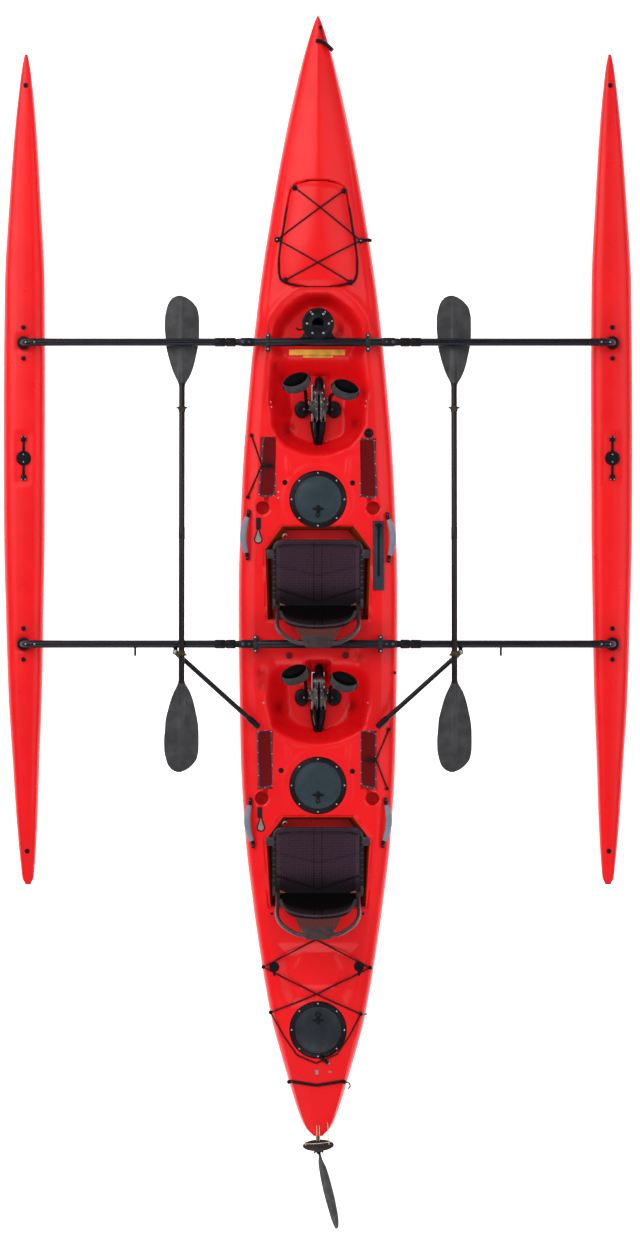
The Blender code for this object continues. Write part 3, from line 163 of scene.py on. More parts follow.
# Height of the seat back's mesh over its hinge, by distance from the middle
BACK_TOP = [(0.0, 0.250), (0.064, 0.243), (0.12, 0.222), (0.16, 0.178), (0.182, 0.12), (0.191, 0.08)]
BACK_LEAN = 27.0
BACK_INNER = 0.1905
# Channels sewn into the cloth: (start along the panel, slope towards the sides, depth)
PAN_CHANNELS = [(0.05, 0.21, 1.0), (0.455, 0.155, 0.45)]
BACK_CHANNELS = [(0.36, -0.10, 1.0), (0.66, -0.12, 1.0)]
CLOTH_FRAMES = 16


def smooth_curve(points):
    """Returns a smooth function through (station, value) rows that never overshoots them."""
    points = sorted(points)
    xs = np.array([point[0] for point in points])
    values = np.array([point[1] for point in points])
    slopes = np.diff(values) / np.diff(xs)
    product = slopes[:-1] * slopes[1:]
    total = np.where(product > 0, slopes[:-1] + slopes[1:], 1.0)
    tangents = np.concatenate(([slopes[0]], np.where(product > 0, 2 * product / total, 0.0), [slopes[-1]]))

    def value(x):
        x = np.clip(x, xs[0], xs[-1])
        i = np.clip(np.searchsorted(xs, x, side="right") - 1, 0, len(xs) - 2)
        width = xs[i + 1] - xs[i]
        t = (x - xs[i]) / width
        start = values[i] * (1 + 2 * t) * (1 - t) ** 2 + tangents[i] * width * t * (1 - t) ** 2
        end = values[i + 1] * t * t * (3 - 2 * t) + tangents[i + 1] * width * t * t * (t - 1)
        return start + end

    return value


half_beam = smooth_curve(HALF_BEAM)
sheer = smooth_curve(SHEER)
keel = smooth_curve(KEEL)
deck_crown = smooth_curve(DECK_CROWN)
hatch_half = smooth_curve(BOW_HATCH)
ama_toe = smooth_curve(AMA_TOE_IN)
ama_deck = smooth_curve(AMA_DECK)
back_top = smooth_curve(BACK_TOP)


def deck_level(y):
    return sheer(y) + DECK_RISE


def crowned_deck(x, y):
    """Height of the deck without its wells, and with a soft ridge along the foredeck."""
    share = np.minimum(1.0, np.abs(x) / (GUNWALE_SHARE * half_beam(y)))
    ridge = ease((y - 1.5) / 0.7) * 0.35
    dome = 1 - share * share
    tent = 1 - np.sqrt(share * share + 0.004)
    return deck_level(y) + deck_crown(y) * ((1 - ridge) * dome + ridge * tent)


def ease(t):
    """Rises smoothly from 0 to 1 as t does."""
    t = np.clip(t, 0.0, 1.0)
    return t * t * (3 - 2 * t)


def ama_middle(y, side):
    """Where an outrigger's middle line stands; its ends toe in a little."""
    return side * (AMA_X - float(ama_toe(y)))


def ridge_at(distance, centre, spread):
    """A soft ridge of height 1 along the places where the distance is centre."""
    return np.exp(-((distance - centre) / spread) ** 2)


def bump_at(x, y, centre, spread):
    """A soft round bump of height 1."""
    return np.exp(-((x - centre[0]) / spread[0]) ** 2 - ((y - centre[1]) / spread[1]) ** 2)


def inside_distance(x, y, outline):
    """Distance from points to a symmetric outline of (station, half width) rows, positive inside it."""
    ax = np.abs(x)
    corners = [(0.0, outline[0][0])] + [(half, station) for station, half in outline] + [(0.0, outline[-1][0])]
    best = np.full(np.shape(x), 1e9)
    for (xa, ya), (xb, yb) in zip(corners, corners[1:]):
        dx, dy = xb - xa, yb - ya
        t = np.clip(((ax - xa) * dx + (y - ya) * dy) / (dx * dx + dy * dy), 0, 1)
        best = np.minimum(best, np.hypot(ax - xa - t * dx, y - ya - t * dy))
    stations = [row[0] for row in reversed(outline)]
    halves = [row[1] for row in reversed(outline)]
    inside = (ax < np.interp(y, stations, halves)) & (y < outline[0][0]) & (y > outline[-1][0])
    return np.where(inside, best, -best)


def deck_surface(x, y):
    """The moulded deck: crown, coaming, soft footwells with their dimples, and rounded rims round the cut wells."""
    z = crowned_deck(x, y)
    front = inside_distance(x, y, FRONT_WELL)
    rear = inside_distance(x, y, REAR_WELL)
    # The coaming is a raised arch ahead of the mast, and each footwell ends aft in a low lip
    z = z + COAMING_RISE * ease((y - 1.16) / 0.16) * ridge_at(front, -0.030, 0.024)
    for distance, stern in ((front, 0.66), (rear, -0.80)):
        z = z + LIP_RISE * ease((stern + 0.03 - y) / 0.05) * ridge_at(distance, -0.010, 0.012)
    step = STEP_FLOOR + (FOOT_FLOOR - STEP_FLOOR) * ease((1.125 - y) / 0.15)
    z = z + (step - z) * ease(front / (0.080 + 0.050 * ease((y - 0.70) / 0.12) - 0.060 * ease((y - 1.05) / 0.12)))
    step = REAR_STEP_FLOOR + (FOOT_FLOOR - REAR_STEP_FLOOR) * ease((-0.425 - y) / 0.13)
    z = z + (step - z) * ease(rear / (0.080 + 0.055 * ease((y + 0.78) / 0.12) - 0.045 * ease((y + 0.48) / 0.08)))
    for station in DRIVES.values():
        trough = ease((0.070 - np.abs(x)) / 0.035) * ease((station + 0.192 - y) / 0.025)
        z = z + (FOOT_FLOOR - z) * trough * (y > station) * (z > FOOT_FLOOR)
    for px, py, depth in DIMPLES:
        z = z - depth * bump_at(x, y, (px, py), (0.026, 0.034))
    tray = inside_distance(x, y, STERN_WELL)
    panel = inside_distance(x, y, STERN_PANEL)
    z = z - TRAY_DEPTH * ease((tray + 0.03) / 0.08) + PANEL_RISE * ease((panel + 0.012) / 0.024)
    # The panels round the hatches stand a little proud
    for centre in (ROUND_HATCHES["front"], ROUND_HATCHES["middle"]):
        z = z + 0.003 * ridge_at(np.hypot(x, y - centre), 0.168, 0.014)
        tongue = ease((y - centre - 0.10) / 0.05) * ease((centre + 0.235 - y) / 0.05)
        z = z + 0.005 * tongue * ridge_at(np.abs(x) - 0.1 * (y - centre - 0.16), 0.150, 0.010)
    for outline in SEAT_WELLS.values():
        z = z - round_over(inside_distance(x, y, outline), 0.008)
    z = z - round_over(inside_distance(x, y, BOW_HATCH) + 0.006, 0.012)
    for cup in CUP_HOLDERS:
        z = z - round_over(CUP_RADIUS - np.hypot(x - cup[0], y - cup[1]), 0.007)
    # A shallow roll separates the side deck from the gunwale
    edge = np.abs(x) / (GUNWALE_SHARE * half_beam(y))
    return z - 0.006 * ease((edge - 0.93) / 0.07) * ease((2.4 - np.abs(y)) / 0.4)


def round_over(distance, radius):
    """How far a rim is rounded down, where distance is positive inside the hole."""
    t = np.clip((distance + radius) / radius, 0.0, 1.0)
    return radius * (1 - np.sqrt(1 - t * t))


def spline_weights(params, count):
    """Catmull-Rom weights that turn a row of control values into values at params from 0 to count - 1."""
    weights = np.zeros((len(params), count))
    for row, param in enumerate(params):
        i = min(int(param), count - 2)
        t = param - i
        basis = (
            -0.5 * t + t * t - 0.5 * t ** 3, 1 - 2.5 * t * t + 1.5 * t ** 3,
            0.5 * t + 2 * t * t - 1.5 * t ** 3, -0.5 * t * t + 0.5 * t ** 3,
        )
        for offset, share in zip((-1, 0, 1, 2), basis):
            weights[row, min(max(i + offset, 0), count - 1)] += share
    return weights


def point_on(surface, x, y, lift=0.0):
    """A point that stands on a surface, or a little above it."""
    return Vector((x, y, float(surface(np.array(float(x)), np.array(float(y)))) + lift))


def on_deck(x, y, lift=0.0):
    return point_on(deck_surface, x, y, lift)


# Meshes

def placed(name, data):
    """A new object in the scene."""
    item = bpy.data.objects.new(name, data)
    bpy.context.scene.collection.objects.link(item)
    return item


def new_shapes(count):
    """Empty shapes, one for each piece of a group."""
    return [bmesh.new() for _ in range(count)]


def mesh_of(name, bm):
    """A mesh made from bm, which is freed."""
    mesh = bpy.data.meshes.new(name)
    bm.to_mesh(mesh)
    bm.free()
    return mesh


def finish_mesh(item, body, node=None, angle=35):
    """Shades a piece, rides it on its body and hides the node it stands for."""
    item.data.shade_smooth()
    item.data.set_sharp_from_angle(angle=math.radians(angle))
    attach(item, body)
    if node:
        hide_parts(node)
    return item


def piece_from(bm, name, finish_name, body, node=None, angle=35):
    """A piece on its body, in one finish."""
    item = loose_object(name, bm)
    item.data.materials.append(FINISHES[finish_name])
    return finish_mesh(item, body, node, angle)


def frame_along(point, direction):
    """A matrix at a point whose Z runs along a direction."""
    turn = Vector((0, 0, 1)).rotation_difference(Vector(direction)).to_matrix().to_4x4()
    return Matrix.Translation(Vector(point)) @ turn


def beveled(bm, edges, verts, rounding, segments, **options):
    """Rounds edges, and returns the points that the shape then has."""
    result = bmesh.ops.bevel(
        bm, geom=edges, offset=rounding, segments=segments, profile=0.5, affect="EDGES", material=-1, **options
    )
    return list({vert for face in result["faces"] for vert in face.verts} | {v for v in verts if v.is_valid})


def add_grid(bm, columns, rows, shape, uv_axes=None):
    """A grid with its points at shape(u, v), for u and v from 0 to 1; returns each point's u and v."""
    uv = bm.loops.layers.uv.new("UVMap") if uv_axes else None
    verts = bmesh.ops.create_grid(bm, x_segments=columns, y_segments=rows, size=0.5, calc_uvs=False)["verts"]
    params = [(vert.co.x + 0.5, vert.co.y + 0.5) for vert in verts]
    for vert, (u, v) in zip(verts, params):
        vert.co = shape(u, v)
    if uv_axes:
        for face in bm.faces:
            for loop in face.loops:
                loop[uv].uv = [getattr(loop.vert.co, axis) for axis in uv_axes]
    return params


def close_ends(bm):
    """Fills the holes that a wrapped surface has at its ends."""
    bmesh.ops.holes_fill(bm, edges=[edge for edge in bm.edges if edge.is_boundary], sides=0)


def add_box(bm, low, high, rounding=0.0, segments=2, matrix=None):
    """A box between two opposite corners, with its edges rounded."""
    low, high = (Vector(corner) for corner in zip(*map(sorted, zip(low, high))))
    place = Matrix.Translation((low + high) / 2) @ Matrix.Diagonal((*(high - low), 1))
    verts = bmesh.ops.create_cube(bm, size=1, matrix=place)["verts"]
    if rounding:
        edges = list({edge for vert in verts for edge in vert.link_edges})
        verts = beveled(bm, edges, verts, rounding, segments)
    if matrix is not None:
        bmesh.ops.transform(bm, matrix=matrix, verts=verts)


def add_block(bm, spot, half, low, high, rounding=0.0, segments=2):
    """A box about (x, y), from one height to another."""
    (x, y), (wide, long) = spot, half
    add_box(bm, (x - wide, y - long, low), (x + wide, y + long, high), rounding, segments)


def add_rod(bm, start, end, radius, sides=20, rounding=0.0, end_radius=None):
    """A rod or cone between two points, with its rims rounded."""
    start, end = Vector(start), Vector(end)
    direction = end - start
    made = bmesh.ops.create_cone(
        bm, cap_ends=True, segments=sides, radius1=radius, radius2=radius if end_radius is None else end_radius,
        depth=direction.length, matrix=frame_along((start + end) / 2, direction)
    )
    if rounding:
        caps = {face for vert in made["verts"] for face in vert.link_faces if len(face.verts) == sides}
        beveled(bm, list({edge for face in caps for edge in face.edges}), [], rounding, 2, clamp_overlap=True)


def add_post(bm, spot, low, high, radius, sides=20, rounding=0.0):
    """An upright rod at (x, y)."""
    add_rod(bm, (*spot, low), (*spot, high), radius, sides, rounding=rounding)


def add_turned(bm, profile, place, sides=24):
    """Spins an (r, z) profile about Z and places it at a point or by a matrix."""
    verts = [bm.verts.new((r, 0, z)) for r, z in profile]
    edges = [bm.edges.new(pair) for pair in zip(verts, verts[1:])]
    if profile[0][0] > 0 and profile[-1][0] > 0 and profile[0] != profile[-1]:
        edges.append(bm.edges.new((verts[-1], verts[0])))
    old = set(bm.verts) - set(verts)
    bmesh.ops.spin(
        bm, geom=verts + edges, cent=(0, 0, 0), axis=(0, 0, 1), angle=2 * math.pi, steps=sides, use_merge=True
    )
    bmesh.ops.remove_doubles(bm, verts=[vert for vert in bm.verts if vert not in old], dist=1e-6)
    matrix = place if isinstance(place, Matrix) else Matrix.Translation(Vector(place))
    bmesh.ops.transform(bm, matrix=matrix, verts=[vert for vert in bm.verts if vert not in old])


def add_plate(bm, outline, low, high, rounding=0.0, segments=2, matrix=None):
    """An upright plate on an outline of (x, y) points, with its top rim rounded."""
    verts = [bm.verts.new((x, y, low)) for x, y in outline]
    made = bmesh.ops.extrude_face_region(bm, geom=[bm.faces.new(verts)])
    top = [item for item in made["geom"] if isinstance(item, bmesh.types.BMVert)]
    bmesh.ops.translate(bm, vec=(0, 0, high - low), verts=top)
    everything = verts + top
    if rounding:
        rim = [edge for edge in {e for v in top for e in v.link_edges} if all(v in top for v in edge.verts)]
        everything = beveled(bm, rim, everything, rounding, segments)
    if matrix is not None:
        bmesh.ops.transform(bm, matrix=matrix, verts=everything)
    return everything


def add_sweep(bm, points, radius, sides=10, flat=1.0, closed=False):
    """A round or flattened tube that a circle makes along points; radius may be one value or one for each point."""
    points = [Vector(point) for point in points]
    radii = list(radius) if hasattr(radius, "__len__") else [radius] * len(points)
    ahead = points[1:] + [points[0] if closed else points[-1]]
    behind = [points[-1] if closed else points[0]] + points[:-1]
    tangents = [(b - a).normalized() for a, b in zip(behind, ahead)]
    side = tangents[0].cross(Vector((0, 0, 1)))
    if side.length < 1e-3:
        side = tangents[0].cross(Vector((0, 1, 0)))
    side.normalize()
    turn = Matrix((side, tangents[0].cross(side), tangents[0])).transposed().to_quaternion()
    ring = bmesh.ops.create_circle(bm, cap_ends=False, segments=sides, radius=1.0)["verts"]
    first_ring = ring
    rest = [vert.co.copy() for vert in ring]
    edges = first_edges = list({edge for vert in ring for edge in vert.link_edges})
    for i, spot in enumerate(points):
        if i:
            turn = tangents[i - 1].rotation_difference(tangents[i]) @ turn
            made = bmesh.ops.extrude_edge_only(bm, edges=edges)["geom"]
            new = {item for item in made if isinstance(item, bmesh.types.BMVert)}
            ring = [next(e.other_vert(v) for e in v.link_edges if e.other_vert(v) in new) for v in ring]
            edges = [e for e in made if isinstance(e, bmesh.types.BMEdge) and all(v in new for v in e.verts)]
        here = Matrix.Translation(spot) @ turn.to_matrix().to_4x4() @ Matrix.Diagonal((1, flat, 1, 1))
        for vert, offset in zip(ring, rest):
            vert.co = here @ (offset * radii[i])
    if closed:
        bmesh.ops.bridge_loops(bm, edges=first_edges + edges)
    else:
        bm.faces.new(first_ring)
        bm.faces.new(ring)


def turned_about(point, degrees, axis):
    """A turn about an axis through a point."""
    there = Matrix.Translation(Vector(point))
    return there @ Matrix.Rotation(math.radians(degrees), 4, axis) @ there.inverted()


def polar(centre, radius, start, end, steps):
    """Points (x, y) on an arc, with angles in degrees."""
    angles = [math.radians(start + (end - start) * i / steps) for i in range(steps + 1)]
    return [(centre[0] + radius * math.cos(a), centre[1] + radius * math.sin(a)) for a in angles]


def ellipse(centre, wide, long, count):
    """Points (x, y) once round an ellipse."""
    angles = [2 * math.pi * k / count for k in range(count)]
    return [(centre[0] + wide * math.cos(a), centre[1] + long * math.sin(a)) for a in angles]


def capsule(x, low, high, radius, steps=8):
    """Points (x, y) round a slot with half circles about (x, low) and (x, high)."""
    return polar((x, high), radius, 0, 180, steps) + polar((x, low), radius, 180, 360, steps)


def mirrored(points):
    """A row of (x, y) points, then the same on the other side, back to the start."""
    return points + [(-x, y) for x, y in reversed(points)]


def smooth_path(points, steps=6):
    """A Catmull-Rom line through points."""
    control = np.array([tuple(point) for point in points])
    count = len(points)
    params = np.linspace(0, count - 1, (count - 1) * steps + 1)
    return [Vector(point) for point in spline_weights(params, count) @ control]


# Finishes

# Painted shade: the deep red that the hull's colour turns to in the footwells' dimples
DIMPLE_SHADE_COLOUR = (0.20, 0.001, 0.002)
# Painted shade on the seat wells' walls: red at the floor, then olive brown up to the rim
WALL_SHADE_TONES = [(0.0, (0.60, 0.006, 0.006)), (0.12, (0.26, 0.045, 0.006)), (1.0, (0.16, 0.034, 0.004))]
FINISHES = {}


def finish(name, color, roughness, metallic=0.0, **sockets):
    """A Principled material with its even values set on the shader."""
    material = bpy.data.materials.new(name)
    material.use_nodes = True
    shader = material.node_tree.nodes["Principled BSDF"]
    shader.inputs["Base Color"].default_value = (*color, 1.0)
    shader.inputs["Roughness"].default_value = roughness
    shader.inputs["Metallic"].default_value = metallic
    for socket, value in sockets.items():
        shader.inputs[socket.replace("_", " ")].default_value = value
    return material


def node_in(material, kind, **values):
    node = material.node_tree.nodes.new(kind)
    for key, value in values.items():
        if key in node.inputs:
            node.inputs[key].default_value = value
        else:
            setattr(node, key, value)
    return node


def link(material, output, target):
    material.node_tree.links.new(output, target)


def to_shader(material, output, socket):
    link(material, output, material.node_tree.nodes["Principled BSDF"].inputs[socket])


def noise_of(material, scale, detail, space="Object"):
    """A noise texture on object or UV coordinates."""
    coords = node_in(material, "ShaderNodeTexCoord")
    noise = node_in(material, "ShaderNodeTexNoise", Scale=scale, Detail=detail)
    link(material, coords.outputs[space], noise.inputs["Vector"])
    return noise


def ramp(material, source, stops):
    """A colour ramp of (position, colour) stops."""
    node = node_in(material, "ShaderNodeValToRGB")
    elements = node.color_ramp.elements
    while len(elements) < len(stops):
        elements.new(0.5)
    for element, (position, color) in zip(elements, stops):
        element.position = position
        element.color = (*color, 1.0)
    link(material, source, node.inputs["Fac"])
    return node


def mottle(material, dark, light, scale):
    """Lets the colour wander between two tones."""
    noise = noise_of(material, scale, 4.0)
    tones = ramp(material, noise.outputs["Fac"], [(0.35, dark), (0.65, light)])
    to_shader(material, tones.outputs["Color"], "Base Color")
    return tones


def vary_gloss(material, low, high, scale):
    """Lets the roughness wander between two values."""
    noise = noise_of(material, scale, 4.0)
    limits = {"From Min": 0.3, "From Max": 0.7, "To Min": low, "To Max": high}
    spread = node_in(material, "ShaderNodeMapRange", **limits)
    link(material, noise.outputs["Fac"], spread.inputs["Value"])
    to_shader(material, spread.outputs["Result"], "Roughness")


def relief(material, height, strength, distance):
    """Raises the surface by a texture's height."""
    bump = node_in(material, "ShaderNodeBump", Strength=strength, Distance=distance)
    link(material, height, bump.inputs["Height"])
    to_shader(material, bump.outputs["Normal"], "Normal")


def weave(material, dark, light, pitch, strength, with_painted_shade=False):
    """Crossing threads at a pitch in metres, as relief and as tone, darker where the mesh's tone attribute is low,
    which carries painted shade.
    """
    coords = node_in(material, "ShaderNodeTexCoord")
    cross = node_in(material, "ShaderNodeMath", operation="MULTIPLY")
    for i, direction in enumerate("XY"):
        wave = node_in(material, "ShaderNodeTexWave", bands_direction=direction, Scale=1 / (pitch * 20) * math.pi)
        link(material, coords.outputs["UV"], wave.inputs["Vector"])
        link(material, wave.outputs["Fac"], cross.inputs[i])
    wander = noise_of(material, 150.0, 3.0, "UV")
    total = node_in(material, "ShaderNodeMath", operation="MULTIPLY_ADD")
    link(material, wander.outputs["Fac"], total.inputs[0])
    total.inputs[1].default_value = 1.1
    link(material, cross.outputs[0], total.inputs[2])
    # The tone attribute darkens or lightens the threads and carries the panel's painted shade
    if with_painted_shade:
        attribute = node_in(material, "ShaderNodeAttribute", attribute_name="tone")
        shaded = node_in(material, "ShaderNodeMath", operation="MULTIPLY")
        link(material, total.outputs[0], shaded.inputs[0])
        link(material, attribute.outputs["Fac"], shaded.inputs[1])
        total = shaded
    tones = ramp(material, total.outputs[0], [(0.30, dark), (1.25, light)])
    to_shader(material, tones.outputs["Color"], "Base Color")
    relief(material, cross.outputs[0], strength, 0.0008)


def hull_skin():
    """Rotomoulded polyethylene: glossy, faintly pebbled, a little uneven in tone, with painted shade mixed into the
    footwells' dimples.
    """
    color = tuple(bpy.context.scene.trimaran_colours.hull)
    material = finish("moulded_red", color, 0.30, Specular_IOR_Level=0.24)
    tones = mottle(material, tuple(channel * 0.90 for channel in color), color, 2.2)
    # Painted shade: a point attribute mixes the dark colour into the dimples
    attribute = node_in(material, "ShaderNodeAttribute", attribute_name="painted_shade")
    mix = node_in(material, "ShaderNodeMix", data_type="RGBA")
    link(material, attribute.outputs["Fac"], mix.inputs[0])
    link(material, tones.outputs["Color"], mix.inputs[6])
    mix.inputs[7].default_value = (*DIMPLE_SHADE_COLOUR, 1)
    to_shader(material, mix.outputs[2], "Base Color")
    vary_gloss(material, 0.26, 0.38, 9.0)
    relief(material, noise_of(material, 420.0, 2.0).outputs["Fac"], 0.10, 0.0006)
    return material


def shaded_well_wall():
    """The seat wells' walls, in painted shade: the red darkens to olive brown towards the rim."""
    material = finish("shaded_well_wall", (0.3, 0.02, 0.01), 0.5, Specular_IOR_Level=0.1)
    coords = node_in(material, "ShaderNodeTexCoord")
    axes = node_in(material, "ShaderNodeSeparateXYZ")
    link(material, coords.outputs["Object"], axes.inputs["Vector"])
    height = node_in(material, "ShaderNodeMapRange", **{"From Min": SEAT_FLOOR, "From Max": 0.215})
    link(material, axes.outputs["Z"], height.inputs["Value"])
    to_shader(material, ramp(material, height.outputs["Result"], WALL_SHADE_TONES).outputs["Color"], "Base Color")
    return material


def painted(name, color, roughness, metallic=0.0, speck=300.0, pebble=0.15, spread=0.25, specular=0.22):
    """A moulded or coated finish with slight changes of tone and gloss and a fine surface."""
    material = finish(name, color, roughness, metallic, Specular_IOR_Level=specular)
    dark = tuple(channel * (1 - spread) for channel in color)
    light = tuple(min(1.0, channel * (1 + spread)) for channel in color)
    mottle(material, dark, light, 18.0)
    vary_gloss(material, roughness * 0.85, min(1.0, roughness * 1.2), 30.0)
    relief(material, noise_of(material, speck, 2.0).outputs["Fac"], pebble, 0.0005)
    return material


def make_finishes():
    """All the finishes, by the name that the pieces ask for."""
    colours = bpy.context.scene.trimaran_colours
    FINISHES.update({
        "hull": hull_skin(),
        "shaded_well_wall": shaded_well_wall(),
        "tube": painted("anodised_tube", (0.0035, 0.005, 0.010), 0.30, 0.0, 900.0, 0.05, specular=0.22),
        "black": painted("moulded_black", (0.0030, 0.0035, 0.0060), 0.40, specular=0.14),
        "slate": painted("moulded_slate", tuple(colours.lids), 0.45, speck=700.0, pebble=0.25, spread=0.12),
        "grip": painted("soft_grip", tuple(colours.handles), 0.55, speck=500.0, pebble=0.3, spread=0.12),
        "seat_tube": painted("coated_seat_tube", (0.030, 0.022, 0.026), 0.40, 0.2, specular=0.4),
        "metal": painted("cast_metal", (0.115, 0.100, 0.100), 0.30, 0.8, 120.0, 0.5, 0.7),
        "pedal": painted("moulded_pedal", (0.002, 0.002, 0.003), 0.6, specular=0.06),
        "strap": painted("pedal_strap", (0.034, 0.034, 0.037), 0.6, speck=650.0, pebble=0.4),
        "fin": painted("flexible_fin", (0.012, 0.012, 0.013), 0.5),
        "blade": painted("paddle_blade", (0.040, 0.040, 0.043), 0.36, 0.0, 120.0, 0.1),
        "shaft": painted("paddle_shaft", (0.008, 0.007, 0.008), 0.3, 0.0, 160.0, 0.1),
        "ring": painted("drip_ring", (0.040, 0.030, 0.012), 0.5),
        "steel": painted("stainless", (0.42, 0.42, 0.43), 0.40, 0.9, 800.0, 0.05, 0.1),
        "bolt": painted("blued_bolt", (0.060, 0.068, 0.078), 0.38, 0.7, 800.0, 0.05, 0.2, 0.4),
        "clamp": painted("clamp_grey", (0.010, 0.014, 0.020), 0.42, specular=0.25),
        "yoke": painted("yoke_brown", (0.020, 0.011, 0.010), 0.4),
        "bungee": painted("shock_cord", (0.006, 0.004, 0.006), 0.75, speck=1200.0, pebble=0.6),
        "line": painted("steering_line", (0.60, 0.50, 0.34), 0.8, speck=1500.0, pebble=0.5),
        "strip": painted("yellow_strip", (0.74, 0.40, 0.05), 0.5),
        "amber": painted("amber_tab", (0.24, 0.050, 0.010), 0.6),
        "pad": painted("head_pad", (0.040, 0.027, 0.029), 0.8, speck=600.0, pebble=0.5),
        "rudder": painted("rudder_foil", (0.011, 0.009, 0.009), 0.5, specular=0.1),
        # Painted shade: the dark red of the hollows round the scuppers
        "scupper_shade": painted("painted_shade_red", (0.16, 0.004, 0.004), 0.45),
        "pale": painted("pale_knob", (0.24, 0.21, 0.19), 0.5),
        "piping": painted("pocket_piping", (0.050, 0.040, 0.055), 0.7, speck=900.0, pebble=0.5),
        "band": painted("seat_band", (0.042, 0.031, 0.036), 0.75, speck=900.0, pebble=0.5),
        "webbing": painted("webbing", (0.010, 0.009, 0.010), 0.85, speck=900.0, pebble=0.6),
    })
    cloth = finish("seat_cloth", (0.03, 0.02, 0.028), 0.9, Sheen_Weight=0.06, Specular_IOR_Level=0.1)
    weave(cloth, (0.0020, 0.0010, 0.0016), tuple(colours.seats), 0.0040, 0.8, with_painted_shade=True)
    # Painted shade: a darker copy of the seat cloth for the back, which leans steeply and lies in shade
    shade = finish("shaded_back_cloth", (0.008, 0.005, 0.007), 0.95, Specular_IOR_Level=0.05)
    weave(shade, (0.0012, 0.0007, 0.0010), (0.034, 0.020, 0.028), 0.0040, 0.8, with_painted_shade=True)
    # The net's dark red is black mesh over the red recess, darkened further as painted shade of that recess
    net = finish("pocket_net_over_shade", (0.12, 0.003, 0.005), 0.8, Specular_IOR_Level=0.1)
    weave(net, (0.075, 0.0012, 0.0024), (0.150, 0.0030, 0.0050), 0.003, 0.4)
    web = finish("seat_web", (0.12, 0.01, 0.02), 0.85, Specular_IOR_Level=0.1)
    weave(web, (0.055, 0.014, 0.014), (0.130, 0.036, 0.032), 0.005, 0.6)
    FINISHES.update({"cloth": cloth, "shaded_back_cloth": shade, "net": net, "web": web})


def dress_nodes():
    """Gives the solids that stay their finishes."""
    by_slot = {
        "black_tube": "tube", "black_plastic": "black", "slate_plastic": "slate", "grip_grey": "grip",
        "seat_tube_grey": "seat_tube", "drive_metal": "metal", "pedal_grey": "pedal", "fin_rubber": "fin",
        "blade_grey": "blade", "hull_red": "hull", "seat_mesh": "cloth", "pocket_mesh": "net",
    }
    slots = {part["node"]: part["material_slot"] for part in frame["record"]["subparts"]}
    for name, item in frame["nodes"].items():
        item.data.materials.clear()
        item.data.materials.append(FINISHES[by_slot[slots[name]]])


# Main hull

def hull_side(y):
    """Control rows (x, z) of the half section from the gunwale down to the keel, one column for each station."""
    beam = half_beam(y)
    shoulder = sheer(y) - 0.07
    shoulder = np.where(shoulder < keel(y) + 0.02, 0.5 * (sheer(y) + keel(y)), shoulder)
    depth = shoulder - keel(y)
    edge = deck_surface(GUNWALE_SHARE * beam, y)
    xs = np.array([share * beam for share in (GUNWALE_SHARE, 0.955, 1, 0.95, 0.80, 0.45, 0)])
    zs = np.array([edge, 0.5 * (deck_level(y) + shoulder) + 0.015]
                  + [shoulder - share * depth for share in (0, 0.38, 0.70, 0.93)] + [keel(y)])
    return xs, zs


def wrapped_hull():
    """A grid wrapped round the hull: the deck from side to side, then down and under to the keel."""
    rows, deck_columns, side_columns = 640, 84, 13
    columns = deck_columns + 2 * side_columns
    bm = bmesh.new()
    bmesh.ops.create_grid(bm, x_segments=columns, y_segments=rows, size=0.5)
    stern, bow = HALF_BEAM[0][0], HALF_BEAM[-1][0]
    y_rows = stern + (bow - stern) * np.arange(rows + 1) / rows
    side_weights = spline_weights(np.linspace(0, 6, side_columns + 1), 7)
    side_x, side_z = (side_weights @ control for control in hull_side(y_rows))
    sections = []
    for i in range(columns + 1):
        k = abs(i - columns / 2) - deck_columns / 2
        if k > 0:
            sections.append((math.copysign(1, i - columns / 2) * side_x[int(k)], side_z[int(k)]))
        else:
            x = (2 * (i - side_columns) / deck_columns - 1) * GUNWALE_SHARE * half_beam(y_rows)
            sections.append((x, deck_surface(x, y_rows)))
    for vert in bm.verts:
        i, j = round((vert.co.x + 0.5) * columns), round((vert.co.y + 0.5) * rows)
        vert.co = (sections[i][0][j], y_rows[j], sections[i][1][j])
    return bm


def rounded_outline(outline, spread=0.0):
    """Both sides of a symmetric outline of (station, half width) rows, as (x, y) points."""
    right = [(half + spread, station) for station, half in outline]
    right[0] = (right[0][0], right[0][1] + spread)
    right[-1] = (right[-1][0], right[-1][1] - spread)
    return mirrored(right)


def loose_object(name, bm):
    """An object made from bm, which is freed, with its faces turned out."""
    bmesh.ops.recalc_face_normals(bm, faces=bm.faces)
    return placed(name, mesh_of(name, bm))


